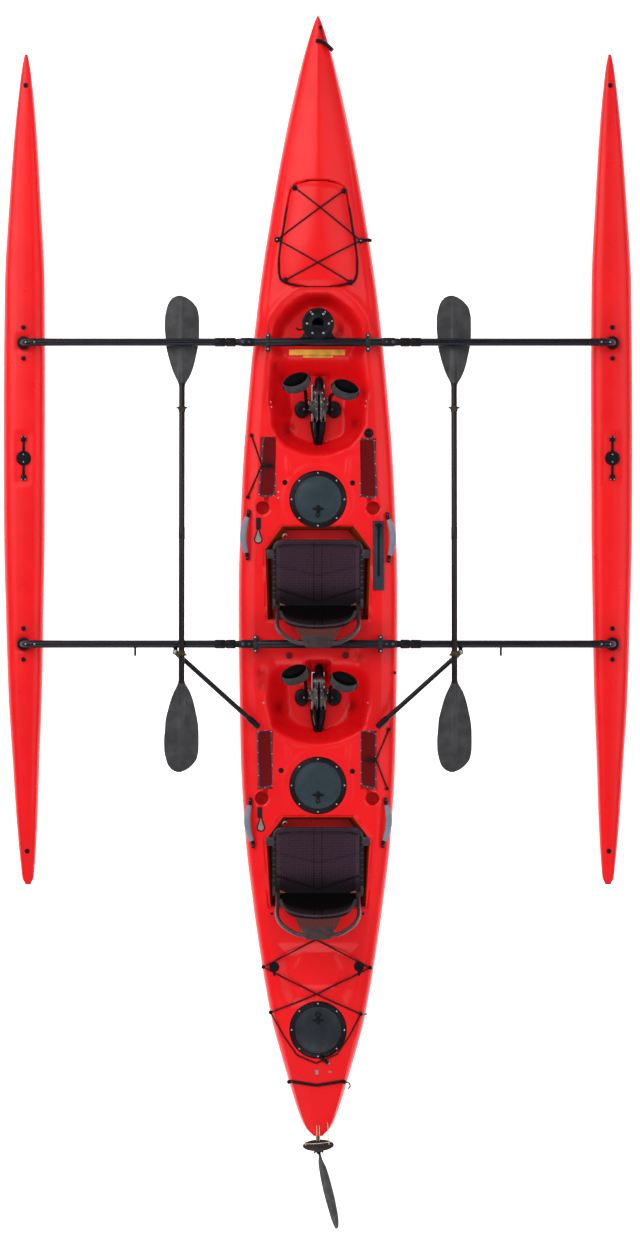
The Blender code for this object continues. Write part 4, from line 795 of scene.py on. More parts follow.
def hull_cuts():
    """The shapes that are cut out of the hull: the seat wells, then the slots, seats and cups, then the cups' necks."""
    wells, bm, necks = new_shapes(3)
    above = 0.5
    for outline in SEAT_WELLS.values():
        middle = 0.5 * (outline[0][0] + outline[-1][0])
        for vert in add_plate(wells, rounded_outline(outline), SEAT_FLOOR, 0.24):
            if vert.co.z < 0.2:
                vert.co.x -= math.copysign(WALL_LEAN, vert.co.x)
                vert.co.y -= math.copysign(0.6 * WALL_LEAN, vert.co.y - middle)
    add_plate(bm, rounded_outline(BOW_HATCH, 0.006), BOW_HATCH_FLOOR, above)
    for y in DRIVES.values():
        add_box(bm, (-0.0315, y - 0.127, -0.3), (0.0315, y + 0.127, above))
    for y in ROUND_HATCHES.values():
        add_post(bm, (0, y), deck_level(y) - 0.002, above, 0.1455, 64)
    for x, y in CUP_HOLDERS:
        top = float(deck_level(y))
        inner = abs(x) - 0.019
        add_box(necks, (math.copysign(inner - 0.012, x), y, top - 0.030),
                (math.copysign(inner + 0.012, x), y + 0.064, above))
        add_post(bm, (x, y), top + 0.006 - CUP_DEPTH, above, CUP_RADIUS, 40)
    for name in frame["nodes"]:
        if name.startswith("mesh_pocket") or name == "steering_handle":
            low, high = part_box(name)
            add_box(bm, (low.x - 0.002, low.y - 0.002, low.z - 0.0003), (high.x + 0.002, high.y + 0.002, above))
    return [loose_object("hull_cuts", shape) for shape in (wells, bm, necks)]


def baked(item):
    """An object's evaluated mesh as a new object, with its modifiers applied."""
    bpy.context.view_layer.update()
    graph = bpy.context.evaluated_depsgraph_get()
    mesh = bpy.data.meshes.new_from_object(item.evaluated_get(graph))
    name = item.name
    bpy.data.objects.remove(item)
    return placed(name, mesh)


def build_hull():
    """The main hull: its wrapped surface with the wells and slots cut out."""
    bm = wrapped_hull()
    bmesh.ops.remove_doubles(bm, verts=bm.verts, dist=1e-5)
    close_ends(bm)
    shell = loose_object("hull_shell", bm)
    cuts = hull_cuts()
    for item in cuts:
        step = shell.modifiers.new("Cut", "BOOLEAN")
        step.operation = "DIFFERENCE"
        step.solver = "EXACT"
        step.object = item
    shell = baked(shell)
    for item in cuts:
        bpy.data.objects.remove(item)
    if not shell.data.polygons:
        raise RuntimeError("the hull's wells could not be cut")
    shell.data.materials.clear()
    for name in ("hull", "shaded_well_wall"):
        shell.data.materials.append(FINISHES[name])
    # Painted shade: points in the footwells' dimples get a value that darkens the hull there
    painted_shade = shell.data.attributes.new("painted_shade", "FLOAT", "POINT")
    for vert, value in zip(shell.data.vertices, painted_shade.data):
        x, y, z = vert.co
        if z < 0.21:
            value.value = max(30 * depth * float(bump_at(x, y, (px, py), (0.024, 0.032))) for px, py, depth in DIMPLES)
    # The seat wells' walls take the finish painted with shade
    for face in shell.data.polygons:
        x, y, z = face.center
        walls = abs(face.normal.z) < 0.6 and 0.09 < z and abs(x) < 0.285
        inside = any(outline[-1][0] - 0.01 < y < outline[0][0] + 0.01 for outline in SEAT_WELLS.values())
        face.material_index = int(walls and inside)
    finish_mesh(shell, "hull", "hull", 32)


def build_ama(name, side):
    """One outrigger, on a grid wrapped round it, flat under its sockets and its port."""
    bm = bmesh.new()
    wide, low = smooth_curve(AMA_HALF_BEAM), smooth_curve(AMA_KEEL)
    shares = smooth_curve([(t, share) for t, share, drop in AMA_SECTION])
    drops = smooth_curve([(t, drop) for t, share, drop in AMA_SECTION])
    stern, bow = AMA_HALF_BEAM[0][0], AMA_HALF_BEAM[-1][0]

    def skin(u, v):
        y = stern + (bow - stern) * v
        across = 2 * u - 1
        x = math.copysign(float(shares(abs(across)) * wide(y)), across) if abs(across) > 1e-6 else 0.0
        z = float(ama_deck(y)) - float(drops(abs(across))) * float(ama_deck(y) - low(y))
        fitted = [(socket, 0.036) for socket in BARS.values()] + [(PORT_Y, 0.135)]
        if abs(x) < 0.040 and any(abs(y - station) < half for station, half in fitted):
            z = min(z, AMA_SEAT)
        return ama_middle(y, side) + x, y, z

    add_grid(bm, 36, 300, skin)
    bmesh.ops.remove_doubles(bm, verts=bm.verts, dist=1e-5)
    close_ends(bm)
    piece_from(bm, f"outrigger_shell_{name}", "hull", f"ama_{name}", f"ama_{name}")


# Seats

def simulate_cloth(item, pinned, gravity, cap):
    """Runs cloth on an object and applies it, with each point held within cap of where it began."""
    start = [vert.co.copy() for vert in item.data.vertices]
    item.vertex_groups.new(name="held").add(pinned, 1.0, "REPLACE")
    cloth = item.modifiers.new("Cloth", "CLOTH")
    cloth.settings.quality = 5
    cloth.settings.mass = 0.25
    cloth.settings.tension_stiffness = 20
    cloth.settings.compression_stiffness = 20
    cloth.settings.bending_stiffness = 2.0
    cloth.settings.vertex_group_mass = "held"
    cloth.settings.effector_weights.gravity = gravity
    cloth.collision_settings.use_self_collision = False
    scene = bpy.context.scene
    for number in range(1, CLOTH_FRAMES + 1):
        scene.frame_set(number)
    graph = bpy.context.evaluated_depsgraph_get()
    posed = [vert.co.copy() for vert in item.evaluated_get(graph).data.vertices]
    item.modifiers.remove(cloth)
    item.vertex_groups.clear()
    scene.frame_set(1)
    for vert, before, after in zip(item.data.vertices, start, posed):
        step = after - before
        if step.length > cap:
            step *= cap / step.length
        vert.co = before + step


def cloth_panel(name, shape, columns, rows, place, channels, sag, lift, shade, finish_name):
    """A mesh panel on shape(u, v), let sag as cloth, sewn into channels, rolled at its edges and made thick, with
    painted shade in its tone.
    """
    bm = bmesh.new()
    params = add_grid(bm, columns, rows, lambda u, v: (*shape(2 * u - 1, v), 0.0), "xy")
    bm.verts.index_update()
    rim = [vert.index for vert in bm.verts if vert.is_boundary]
    mesh = mesh_of(name, bm)
    item = placed(name, mesh)
    mesh.materials.append(FINISHES[finish_name])
    simulate_cloth(item, rim, gravity=0.35, cap=0.012)
    tones = []
    for vert, (u, v) in zip(mesh.vertices, params):
        u = 2 * u - 1
        edge = min(1 - abs(u), v, 1 - v)
        groove = max(force * math.exp(-((v - start - slope * abs(u)) / 0.016) ** 2) for start, slope, force in channels)
        hem = float(ease((abs(u) - 0.90) / 0.03))
        seam = math.exp(-((abs(u) - 0.098) / 0.016) ** 2)
        vert.co.z -= sag * (1 - u * u) * (1 - (2 * v - 1) ** 2)
        vert.co.z += 0.004 * math.exp(-(edge / 0.045) ** 2) + lift(v) - 0.0045 * groove - 0.0025 * seam
        # Painted shade from shade(v) and in the sewn channels; the centre seam is darker and the hems lighter
        tones.append(shade(v) * (1 - 0.62 * groove) * (1 - 0.45 * seam) * (1 + 0.45 * hem))
    mesh.attributes.new("tone", "FLOAT", "POINT").data.foreach_set("value", tones)
    shell = item.modifiers.new("Thickness", "SOLIDIFY")
    shell.thickness = 0.007
    shell.offset = 0.0
    item = baked(item)
    item.name = name
    item.data.transform(place)
    return item


def back_place(hinge):
    """Where a seat's back stands, hinged behind the pan and leaning aft."""
    return Matrix.Translation((0, hinge, SEAT_HINGE_Z)) @ Matrix.Rotation(math.radians(BACK_LEAN), 4, "X")


def build_seat(end):
    """The cloth of one seat: the pan that sags in its frame, and the back that bellies forward."""
    hinge = HINGES[end]
    length = SEAT_DEPTH + 0.006

    def pan_shape(u, v):
        return (u * (SEAT_INNER - 0.034 * max(0.0, (v - 0.9) / 0.1) ** 2), v * length)

    def over_the_bar(v):
        return 0.0105 * float(ease((v - 0.90) / 0.05)) - 0.011 * float(ease((v - 0.975) / 0.025))

    # Painted shade: the pan darkens towards the hinge, where the back shades it
    def pan_shade(v):
        return 0.36 + 0.64 * float(ease((v - 0.02) / 0.42))

    def back_shape(u, v):
        return (u * BACK_INNER, -0.006 + v * (float(back_top(abs(u) * BACK_INNER)) + 0.006))

    # Painted shade: the back is dark low down and lighter towards its top
    def back_shade(v):
        return 0.12 + 0.70 * float(ease((v - 0.45) / 0.45))

    place = Matrix.Translation((0, hinge + 0.002, SEAT_HEIGHT + 0.004))
    pan = cloth_panel(f"seat_pan_cloth_{end}", pan_shape, 72, 52, place, PAN_CHANNELS, 0.010, over_the_bar, pan_shade,
                      "cloth")
    finish_mesh(pan, "hull", f"seat_{end}_pan")
    place = back_place(hinge) @ Matrix.Rotation(math.radians(90), 4, "X")
    back = cloth_panel(f"seat_back_cloth_{end}", back_shape, 60, 44, place, BACK_CHANNELS, -0.014, lambda v: 0.0,
                       back_shade, "shaded_back_cloth")
    finish_mesh(back, f"seat_{end}_back", f"seat_{end}_back_mesh")


# Crossbars, arms, braces and paddles

BAR_Z = 0.310
BAR_RADIUS = 0.0212
ARM_RADIUS = 0.0195
SLEEVE_RADIUS = 0.0231
KNUCKLE_X = 0.378
TONGUE_HALF = 0.0135
EAR_THICK = 0.010
CLAMP_X = {"front": 0.2525, "rear": 0.316}
ELBOW_RADIUS = 0.050
BRACE_LUG_X = 0.718
SEAM = 0.0008
PADDLE_X = 0.686
PADDLE_TIPS = (1.4170, -0.9864)
PADDLE_SHAFT = 0.0152
PADDLE_HEIGHTS = (0.262, 0.3492)


def add_screws(bm, spots, radius=None, direction=(0, 0, 1)):
    """Round heads with a socket in them, standing on the spots."""
    size = radius or bpy.context.scene.trimaran_sizes.screw
    profile = [(0, -0.001), (size, -0.001), (size, 0.25 * size), (0.8 * size, 0.5 * size), (0.42 * size, 0.6 * size),
               (0.36 * size, 0.25 * size), (0, 0.25 * size)]
    for spot in spots:
        add_turned(bm, profile, frame_along(spot, direction), 14)


def add_bolt(bm, spot, radius):
    """A washer with a hexagon head on it."""
    z = spot[2]
    add_post(bm, spot[:2], z, z + 0.0015, radius * 1.35, rounding=0.0004)
    add_post(bm, spot[:2], z + 0.001, z + 0.001 + 0.6 * radius, radius, 6, 0.0006)


def build_crossbar(end):
    """A crossbar in its deck clamps, with two ears at each end that an arm's tongue turns between."""
    y = BARS[end]
    seat = float(deck_level(y)) - 0.0017
    top = BAR_Z + TONGUE_HALF + EAR_THICK
    thick = TONGUE_HALF + 0.006
    bm, clamps, bolts, screws = new_shapes(4)
    add_rod(bm, (-0.348, y, BAR_Z), (0.348, y, BAR_Z), BAR_RADIUS, 40, 0.003)
    for side in SIDES.values():
        x = side * CLAMP_X[end]
        add_block(bm, (x, y), (0.012, 0.044), seat, BAR_Z - 0.010, 0.004)
        add_rod(clamps, (x - 0.0115, y, BAR_Z), (x + 0.0115, y, BAR_Z), BAR_RADIUS + 0.004, 40, 0.003)
        add_plate(clamps, capsule(x, y - 0.031, y + 0.031, 0.012, 10), BAR_Z - 0.009, BAR_Z - 0.001, 0.003)
        rim = polar((side * KNUCKLE_X, y), 0.0215, -90 * side, 180 - 90 * side, 14)
        outline = rim + [(side * 0.330, rim[-1][1]), (side * 0.320, y + side * 0.012),
                         (side * 0.320, y - side * 0.012), (side * 0.330, rim[0][1])]
        for low in (TONGUE_HALF + 0.0005, -TONGUE_HALF - 0.0005 - EAR_THICK):
            add_plate(bm, outline, BAR_Z + low, BAR_Z + low + EAR_THICK, 0.004, 3)
        add_box(bm, (side * 0.318, y - 0.0195, BAR_Z - thick), (side * 0.3545, y + 0.0195, BAR_Z + thick),
                0.004, 3)
        add_screws(screws, [(x, y + dy, BAR_Z - 0.001) for dy in (-0.034, 0.034)], 0.0050)
        add_bolt(bolts, (side * KNUCKLE_X, y, top), 0.0062)
        add_bolt(bolts, (side * 0.346, y, top), 0.0046)
    piece_from(bm, f"crossbar_{end}_tube", "tube", "hull", f"{end}_crossbar")
    piece_from(clamps, f"crossbar_{end}_clamps", "clamp", "hull")
    piece_from(bolts, f"crossbar_{end}_bolts", "bolt", "hull")
    piece_from(screws, f"crossbar_{end}_screws", "steel", "hull")


def build_arm(end, name, side):
    """One folding arm with its grip sleeves, its elbow, and on the rear arm the lug, the rest and the peg."""
    y = BARS[end]
    body = f"{end}_arm_{name}"
    bend_x = side * (AMA_X - ELBOW_RADIUS)

    def on_elbow(turn):
        drop = ELBOW_RADIUS * (1 - math.cos(turn))
        return Vector((bend_x + side * ELBOW_RADIUS * math.sin(turn), y, BAR_Z - drop))

    bm, sleeves, screws = new_shapes(3)
    rim = polar((side * KNUCKLE_X, y), 0.020, 90 * side, 180 + 90 * side, 14)
    outline = [(side * 0.428, y + side * 0.016)] + rim + [(side * 0.428, y - side * 0.016)]
    add_plate(bm, outline, BAR_Z - TONGUE_HALF, BAR_Z + TONGUE_HALF, 0.003)
    path = [(side * 0.420, y, BAR_Z), (side * 0.9, y, BAR_Z)]
    path += [on_elbow(math.radians(7.5 * step)) for step in range(13)]
    add_sweep(bm, path + [(side * AMA_X, y, AMA_SEAT + SEAM)], ARM_RADIUS, 32)
    # A swaged ring ends the straight tube before the elbow
    add_rod(bm, (side * 1.417, y, BAR_Z), (side * 1.432, y, BAR_Z), ARM_RADIUS + 0.0018, 32, 0.0015)
    if end == "rear":
        lug_x = side * BRACE_LUG_X
        low = BAR_Z - 0.025
        add_box(bm, (lug_x - 0.011, y - 0.046, low), (lug_x + 0.011, y - 0.005, low + 0.008), 0.002)
        add_post(bm, (side * PADDLE_X, y), BAR_Z, BAR_Z + 0.025, 0.008, rounding=0.002)
        level = BAR_Z + 0.012
        add_rod(bm, (side * 0.920, y, level), (side * 0.920, y - 0.060, level), 0.006, rounding=0.002)
    for start, stop in ((0.415, 0.463), (0.467, 0.519)):
        add_rod(sleeves, (side * start, y, BAR_Z), (side * stop, y, BAR_Z), SLEEVE_RADIUS, 32, 0.003)
    turn = math.radians(30)
    out = Vector((side * math.sin(turn), 0, math.cos(turn)))
    add_screws(screws, [on_elbow(turn) + out * ARM_RADIUS], direction=out)
    before = ELBOW_RADIUS * math.sin(math.radians(12))
    add_screws(screws, [(bend_x - side * before, y, BAR_Z + ARM_RADIUS)])
    piece_from(bm, f"arm_{end}_{name}_tube", "tube", body, body)
    piece_from(sleeves, f"arm_{end}_{name}_sleeves", "black", body)
    piece_from(screws, f"arm_{end}_{name}_screws", "steel", body)


def build_brace(name, side):
    """The strut from the rear arm down to the side deck, with its boot at the deck."""
    body = f"brace_{name}"
    lug = Vector((side * BRACE_LUG_X, BARS["rear"] - 0.040, BAR_Z))
    ball = Vector((side * 0.307, -0.755, 0.272))
    along = (ball - lug).normalized()
    bm, boot, bolt = new_shapes(3)
    add_rod(bm, lug, ball - along * 0.02, 0.0125, 28)
    add_rod(bm, lug + along * 0.012, lug + along * 0.052, 0.0140, 28, 0.002)
    add_post(bm, lug.xy, 0.2935, BAR_Z + 0.014, 0.0145, 28, 0.003)
    add_rod(boot, ball - along * 0.062, ball - along * 0.050, 0.0150, 28, 0.003)
    add_rod(boot, ball - along * 0.052, ball + along * 0.012, 0.0165, 28, 0.004, 0.0150)
    add_post(boot, ball.xy, 0.2532, 0.2750, 0.0145, 28, 0.003)
    add_bolt(bolt, (lug.x, lug.y, BAR_Z + 0.0135), 0.007)
    piece_from(bm, f"brace_{name}_tube", "tube", body, body)
    piece_from(boot, f"brace_{name}_boot", "black", body)
    piece_from(bolt, f"brace_{name}_bolt", "steel", body)


# From the tip: distance, then how far the blade reaches to port and to starboard of the shaft
BLADE_OUTLINE = [
    (0.0, 0.0200, -0.0080), (0.0044, 0.034, 0.008), (0.0169, 0.0530, 0.0328), (0.041, 0.0700, 0.0594),
    (0.0652, 0.0780, 0.0763), (0.0893, 0.0835, 0.0825), (0.1134, 0.087, 0.0862), (0.1617, 0.0880, 0.0868),
    (0.21, 0.084, 0.0862), (0.2582, 0.0806, 0.0811), (0.3065, 0.070, 0.0714), (0.3547, 0.0565, 0.0603),
    (0.403, 0.0386, 0.0434), (0.4271, 0.0265, 0.0304), (0.4513, 0.0169, 0.0174), (0.474, 0.0135, 0.0135),
]


def paddle_height(y):
    low, high = PADDLE_HEIGHTS
    return low + (BARS["front"] - y) * (high - low) / (BARS["front"] - BARS["rear"])


def build_paddle(name, side):
    """A two bladed paddle: spooned blades with a rib down the middle, a shaft and two drip rings."""
    x = side * PADDLE_X
    body = f"paddle_{name}"
    to_port = smooth_curve(BLADE_OUTLINE)
    to_starboard = smooth_curve([(distance, reach) for distance, other, reach in BLADE_OUTLINE])
    length = BLADE_OUTLINE[-1][0]

    def blade(u, v):
        across, share = 2 * u - 1, (1 - v) ** 1.25
        distance = length * share
        across *= float(to_starboard(distance) if across > 0 else to_port(distance))
        rib = 0.0145 * share ** 1.4 * math.exp(-(across / (0.005 + 0.010 * share)) ** 2)
        spoon = -0.07 * abs(across) * (1 - share) - 0.012 * (1 - share) ** 2
        y = tip + inward * distance
        return x + across, y, paddle_height(y) + spoon + rib

    blades, shaft, rings = new_shapes(3)
    for tip, inward in zip(PADDLE_TIPS, (-1, 1)):
        add_grid(blades, 24, 60, blade)
    bmesh.ops.solidify(blades, geom=blades.faces[:], thickness=0.0035)
    ends = [PADDLE_TIPS[0] - length + 0.03, PADDLE_TIPS[1] + length - 0.03]
    middle = 0.5 * (ends[0] + ends[1])
    for start, stop, more, rounding in ((*ends, 0, 0.004), (middle + 0.03, middle - 0.03, 0.0012, 0.0008)):
        places = [(x, y, paddle_height(y)) for y in (start, stop)]
        add_rod(shaft, *places, PADDLE_SHAFT + more, 32, rounding)
    slope = (PADDLE_HEIGHTS[0] - PADDLE_HEIGHTS[1]) / (BARS["front"] - BARS["rear"])
    profile = [(0.0153, -0.014), (0.0180, -0.014), (0.0180, -0.004), (0.0295, 0.006), (0.0290, 0.009),
               (0.0180, 0.005), (0.0180, 0.012), (0.0153, 0.012)]
    for y, inward in ((0.8425, -1), (-0.3915, 1)):
        add_turned(rings, profile, frame_along((x, y, paddle_height(y)), (0, -inward, -inward * slope)), 32)
    # The soft rings are pressed flat below, so that a folding arm passes under them
    for vert in rings.verts:
        vert.co.z = max(vert.co.z, paddle_height(vert.co.y) - 0.0172)
    piece_from(blades, f"paddle_{name}_blades", "blade", body, body, 50)
    piece_from(shaft, f"paddle_{name}_shaft", "shaft", body)
    piece_from(rings, f"paddle_{name}_rings", "ring", body)


def build_ama_fittings(name, side):
    """Sockets for the elbows with their screw knobs, the round port with its strap, and the plugs."""
    body = f"ama_{name}"
    x = side * AMA_X
    seat = AMA_SEAT + 0.0003
    for end, y in BARS.items():
        bm, knobs = new_shapes(2)
        add_turned(bm, [(0.033, seat), (0.033, 0.2525), (0.0325, 0.2560), (0.0300, 0.2612), (0.0285, 0.262),
                        (0.0212, 0.262), (0.0205, 0.2605), (0.0205, seat)], (x, y, 0), 40)
        for spot in ellipse((x, y), 0.0322, 0.0322, 16):
            add_post(bm, spot, seat + 0.002, 0.252, 0.0022, 8, 0.0006)
        for dy in (-0.0785, 0.0785):
            add_post(knobs, (x, y + dy), 0.230, 0.240, 0.0065, rounding=0.001)
            add_turned(knobs, [(0, 0.003), (0.011, 0.003), (0.0115, 0.009), (0.009, 0.013), (0, 0.014)],
                       (x, y + dy, 0.236))
        piece_from(bm, f"ama_{name}_{end}_socket", "black", body, f"{end}_socket_{name}")
        piece_from(knobs, f"ama_{name}_{end}_knobs", "black", body)
    y = PORT_Y
    bm, screws = new_shapes(2)
    add_turned(bm, [(0, 0), (0.037, 0), (0.037, 0.006), (0.0335, 0.009), (0.031, 0.009), (0.031, 0.016), (0.029, 0.018),
                    (0.022, 0.018), (0.020, 0.016), (0, 0.016)], (x, y, seat), 40)
    for spot in ellipse((x, y), 0.0305, 0.0305, 18):
        add_post(bm, spot, seat + 0.008, seat + 0.0168, 0.0018, 8, 0.0005)
    add_block(bm, (x, y), (0.022, 0.0045), seat + 0.014, seat + 0.022, 0.0015)
    for step in (-1, 1):
        end = y + step * 0.098
        add_block(bm, (x, end), (0.014, 0.014), seat, seat + 0.013, 0.003)
        add_post(bm, (x, end), seat + 0.012, seat + 0.017, 0.009, rounding=0.0015)
        add_box(bm, (x - 0.0065, y + step * 0.036, seat), (x + 0.0065, y + step * 0.086, seat + 0.007), 0.002)
        add_screws(screws, [(x + dx, y + step * 0.107, seat + 0.0125) for dx in (0.009, -0.009)], 0.003)
        add_screws(screws, [(x, y + step * 0.019, seat + 0.016)], 0.0035)
    piece_from(bm, f"ama_{name}_port", "black", body, f"ama_port_{name}")
    piece_from(screws, f"ama_{name}_port_screws", "steel", body)
    bm = bmesh.new()
    for y in (2.480, -1.390):
        add_turned(bm, [(0, -0.004), (0.0125, -0.004), (0.0125, 0.002), (0.010, 0.0045), (0.004, 0.0045), (0, 0.003)],
                   (ama_middle(y, side), y, float(ama_deck(y))))
    # The tip of the stern is capped in black
    y = -1.5585
    centre = ama_middle(y, side)
    add_box(bm, (centre - 0.0145, y - 0.001, 0.158), (centre + 0.0145, y + 0.012, 0.204), 0.004)
    piece_from(bm, f"ama_{name}_plugs", "black", body)


# Fittings on the deck

MAST_Y = 1.270
POCKETS = {
    "front_left": [(-0.2755, 0.7063), (-0.2033, 0.7038), (-0.219, 0.4066), (-0.2982, 0.4036)],
    "front_right": [(0.2068, 0.6912), (0.2845, 0.6942), (0.2961, 0.3986), (0.2154, 0.4021)],
    "rear_left": [(-0.3067, -0.7845), (-0.2371, -0.7769), (-0.227, -1.0595), (-0.2977, -1.0746)],
    "rear_right": [(0.2154, -0.78), (0.2926, -0.7895), (0.2926, -1.0746), (0.2179, -1.0574)],
}
HANDLES = {"front_left": (-1, 0.208), "front_right": (1, 0.195), "rear_left": (-1, -1.248), "rear_right": (1, -1.247)}
POCKET_CORDS = [
    [(-0.338, 0.7113), (-0.2845, 0.56), (-0.3567, 0.3986)], [(0.3602, -0.7749), (0.2926, -0.9283), (0.3506, -1.0746)],
]
POCKET_BALL = (0.2558, 0.7214)
# Plugs pressed into the deck: (x, y, radius)
DECK_PLUGS = [
    (-0.1665, 0.4722, 0.0135), (0.1735, 0.4702, 0.0135), (-0.1867, -0.9823, 0.0135), (0.173, -0.9868, 0.0135),
    (-0.221, -1.9756, 0.0255), (0.2073, -1.9741, 0.0255), (0.3885, -0.4894, 0.008), (0.1009, 0.2447, 0.008),
    (-0.2326, -1.7067, 0.007), (0.2275, -1.7067, 0.007),
]
RECESS_PLUGS = [(-0.1453, -0.4026), (0.1397, -0.4011)]
PALE_DOTS = [
    (-0.2396, 0.8793), (-0.2356, 0.8541), (0.2447, 0.8849), (0.2406, 0.8587), (-0.1998, 0.4253), (-0.2003, 0.395),
    (-0.275, -0.6407), (0.2522, -0.6407),
]
BOW_KNOBS = [(-0.1292, 1.9534), (0.1438, 1.9383), (-0.1806, 1.4903), (0.1801, 1.4797)]
BOW_HOOKS = [(-0.2068, 1.6961), (0.2159, 1.6911)]
BOW_EYE = (0.0121, 2.7616)
BOW_TOGGLE = [(-0.0101, 2.694), (0.0303, 2.6839), (0.0737, 2.6436)]
STERN_RUNS = [
    [(-0.0101, -1.8364), (-0.2765, -1.9766), (-0.0066, -2.1139), (0.2169, -2.2148)],
    [(-0.0101, -1.8364), (0.2639, -1.9807), (-0.0066, -2.1139), (-0.2396, -2.2062)],
    [(-0.2396, -2.2062), (-0.1766, -2.3207), (-0.1059, -2.4216), (-0.0101, -2.462)],
    [(0.2169, -2.2148), (0.1614, -2.3207), (0.0959, -2.4166), (-0.0101, -2.462)],
]
# Cleats by the stern cords: place, then half sizes and height
STERN_CLEATS = [
    ((-0.005, -2.5074), (0.009, 0.012, 0.006)), ((0.0605, -2.5059), (0.008, 0.004, 0.003)),
    ((0.055, -2.462), (0.006, 0.005, 0.008)), ((0.2356, -2.2148), (0.012, 0.006, 0.008)),
]
STERN_STRAP = [(-0.1478, -2.5578), (-0.0076, -2.578), (0.1327, -2.5578)]
PADDLE_KEEPERS = [((-0.3007, 0.2951), (-0.3017, 0.1665)), ((-0.2946, -1.1679), (-0.2886, -1.289))]
SEAT_HOOKS = [(-0.1776, 0.2033, -1), (0.2084, -0.2558, 1)]
RUDDER_LINES = [((-0.0691, -2.7934), (-0.0631, -2.8756)), ((0.0484, -2.7616), (0.0555, -2.8706)),
                ((-0.006, -2.776), (-0.006, -2.852)), ((0.007, -2.776), (0.007, -2.852))]


def build_mast_step():
    """The open socket that a mast would stand in, with its release lever, and the yellow treads before it."""
    top = BAR_Z + 0.014
    base = STEP_FLOOR + 0.0003
    bm, screws, strips = new_shapes(3)
    profile = [
        (0, base), (0.070, base), (0.070, base + 0.006), (0.064, base + 0.012), (0.060, top - 0.024),
        (0.066, top - 0.016), (0.0795, top - 0.013), (0.0805, top - 0.005), (0.0785, top - 0.0015), (0.074, top),
        (0.064, top - 0.001), (0.050, top - 0.0035), (0.044, top - 0.003), (0.036, top + 0.0005), (0.031, top + 0.001),
        (0.027, top - 0.003), (0.027, base + 0.02), (0, base + 0.02),
    ]
    add_turned(bm, profile, (0, MAST_Y, 0), 64)
    flare = smooth_path([(0.090, 1.1985), (0.082, 1.206), (0.070, 1.226), (0.066, 1.245), (0.058, 1.262)], 4)
    add_plate(bm, mirrored([tuple(point) for point in flare]), top - 0.019, top - 0.005, 0.002)
    # The release lever hooks out to port
    lever = [(-0.062, 1.247, top - 0.012), (-0.082, 1.240, top - 0.010), (-0.100, 1.240, top - 0.009),
             (-0.110, 1.250, top - 0.008)]
    add_sweep(bm, smooth_path(lever, 5), 0.0045, 12)
    add_screws(screws, [(*spot, top - 0.0028) for spot in ellipse((0, MAST_Y), 0.055, 0.055, 6)], 0.0058)
    for x, dy in ((-0.036, 0.058), (0.036, 0.058), (0.071, 0.012)):
        add_screws(screws, [(x, MAST_Y + dy, top - 0.0005)], 0.0038)
    add_box(strips, (-0.146, 1.1185, STEP_FLOOR - 0.002), (0.136, 1.1463, STEP_FLOOR + 0.003), 0.001)
    add_box(strips, (-0.0757, 1.106, STEP_FLOOR - 0.004), (0.0757, 1.1165, STEP_FLOOR + 0.0015), 0.001)
    piece_from(bm, "mast_step_casting", "black", "hull", "mast_step")
    piece_from(screws, "mast_step_screws", "steel", "hull")
    piece_from(strips, "step_tread_strips", "strip", "hull")


def build_round_hatch(end, y):
    """A bolted ring and a lid that twists out by its cross handle."""
    seat = float(deck_level(y)) - 0.0017
    stern = end == "stern"
    way, wide = (1, 1.5) if stern else (-1, 1.0)
    ring, lid, knob, screws = new_shapes(4)
    add_turned(ring, [(0.144, 0), (0.144, 0.007), (0.1425, 0.0095), (0.139, 0.0115), (0.127, 0.012), (0.1225, 0.014),
                      (0.1206, 0.0135), (0.1202, 0.010), (0.1202, 0)], (0, y, seat), 96)
    add_turned(lid, [(0, 0), (0.1188, 0), (0.1188, 0.010), (0.1175, 0.0125), (0.113, 0.014), (0.1105, 0.0125),
                     (0.108, 0.0125), (0.105, 0.0140), (0.04, 0.0165), (0, 0.017)], (0, y, seat), 96)
    spot = y + way * 0.048
    top = seat + 0.0155
    cross, pull = [], []
    for k in range(32):
        turn = 2 * math.pi * k / 32
        reach = 0.0175 + 0.0065 * math.cos(4 * turn)
        cross.append((1.25 * reach * math.cos(turn), spot + 0.85 * reach * math.sin(turn)))
    for k in range(24):
        turn = 2 * math.pi * k / 24
        ahead = way * (0.030 + 0.002 * math.cos(3 * turn)) + 0.0105 * math.sin(turn)
        pull.append((0.0085 * wide * math.cos(turn), spot + ahead, top + 0.0025))
    add_plate(knob, cross, top - 0.002, top + 0.006, 0.0015)
    add_post(knob, (0, spot), top, top + 0.011, 0.0075, rounding=0.0015)
    add_sweep(knob, pull, 0.0028, 10, closed=True)
    add_screws(screws, [(*place, seat + 0.0117) for place in ellipse((0, y), 0.1335, 0.1335, 8)])
    piece_from(ring, f"round_hatch_{end}_flange", "black", "hull", f"round_hatch_{end}_ring")
    piece_from(lid, f"round_hatch_{end}_lid_top", "clamp" if stern else "slate", "hull",
               f"round_hatch_{end}_lid")
    piece_from(knob, f"round_hatch_{end}_knob", "black", "hull")
    piece_from(screws, f"round_hatch_{end}_screws", "steel", "hull")


def lid_top(x, y):
    """Height of the bow hatch's lid, crowned above the foredeck."""
    edge = np.minimum(1.0, np.abs(x) / hatch_half(y))
    return crowned_deck(x, y) + 0.0135 - 0.010 * edge ** 5


def shock_cord():
    """Radius of the deck's shock cord."""
    return bpy.context.scene.trimaran_sizes.bungee


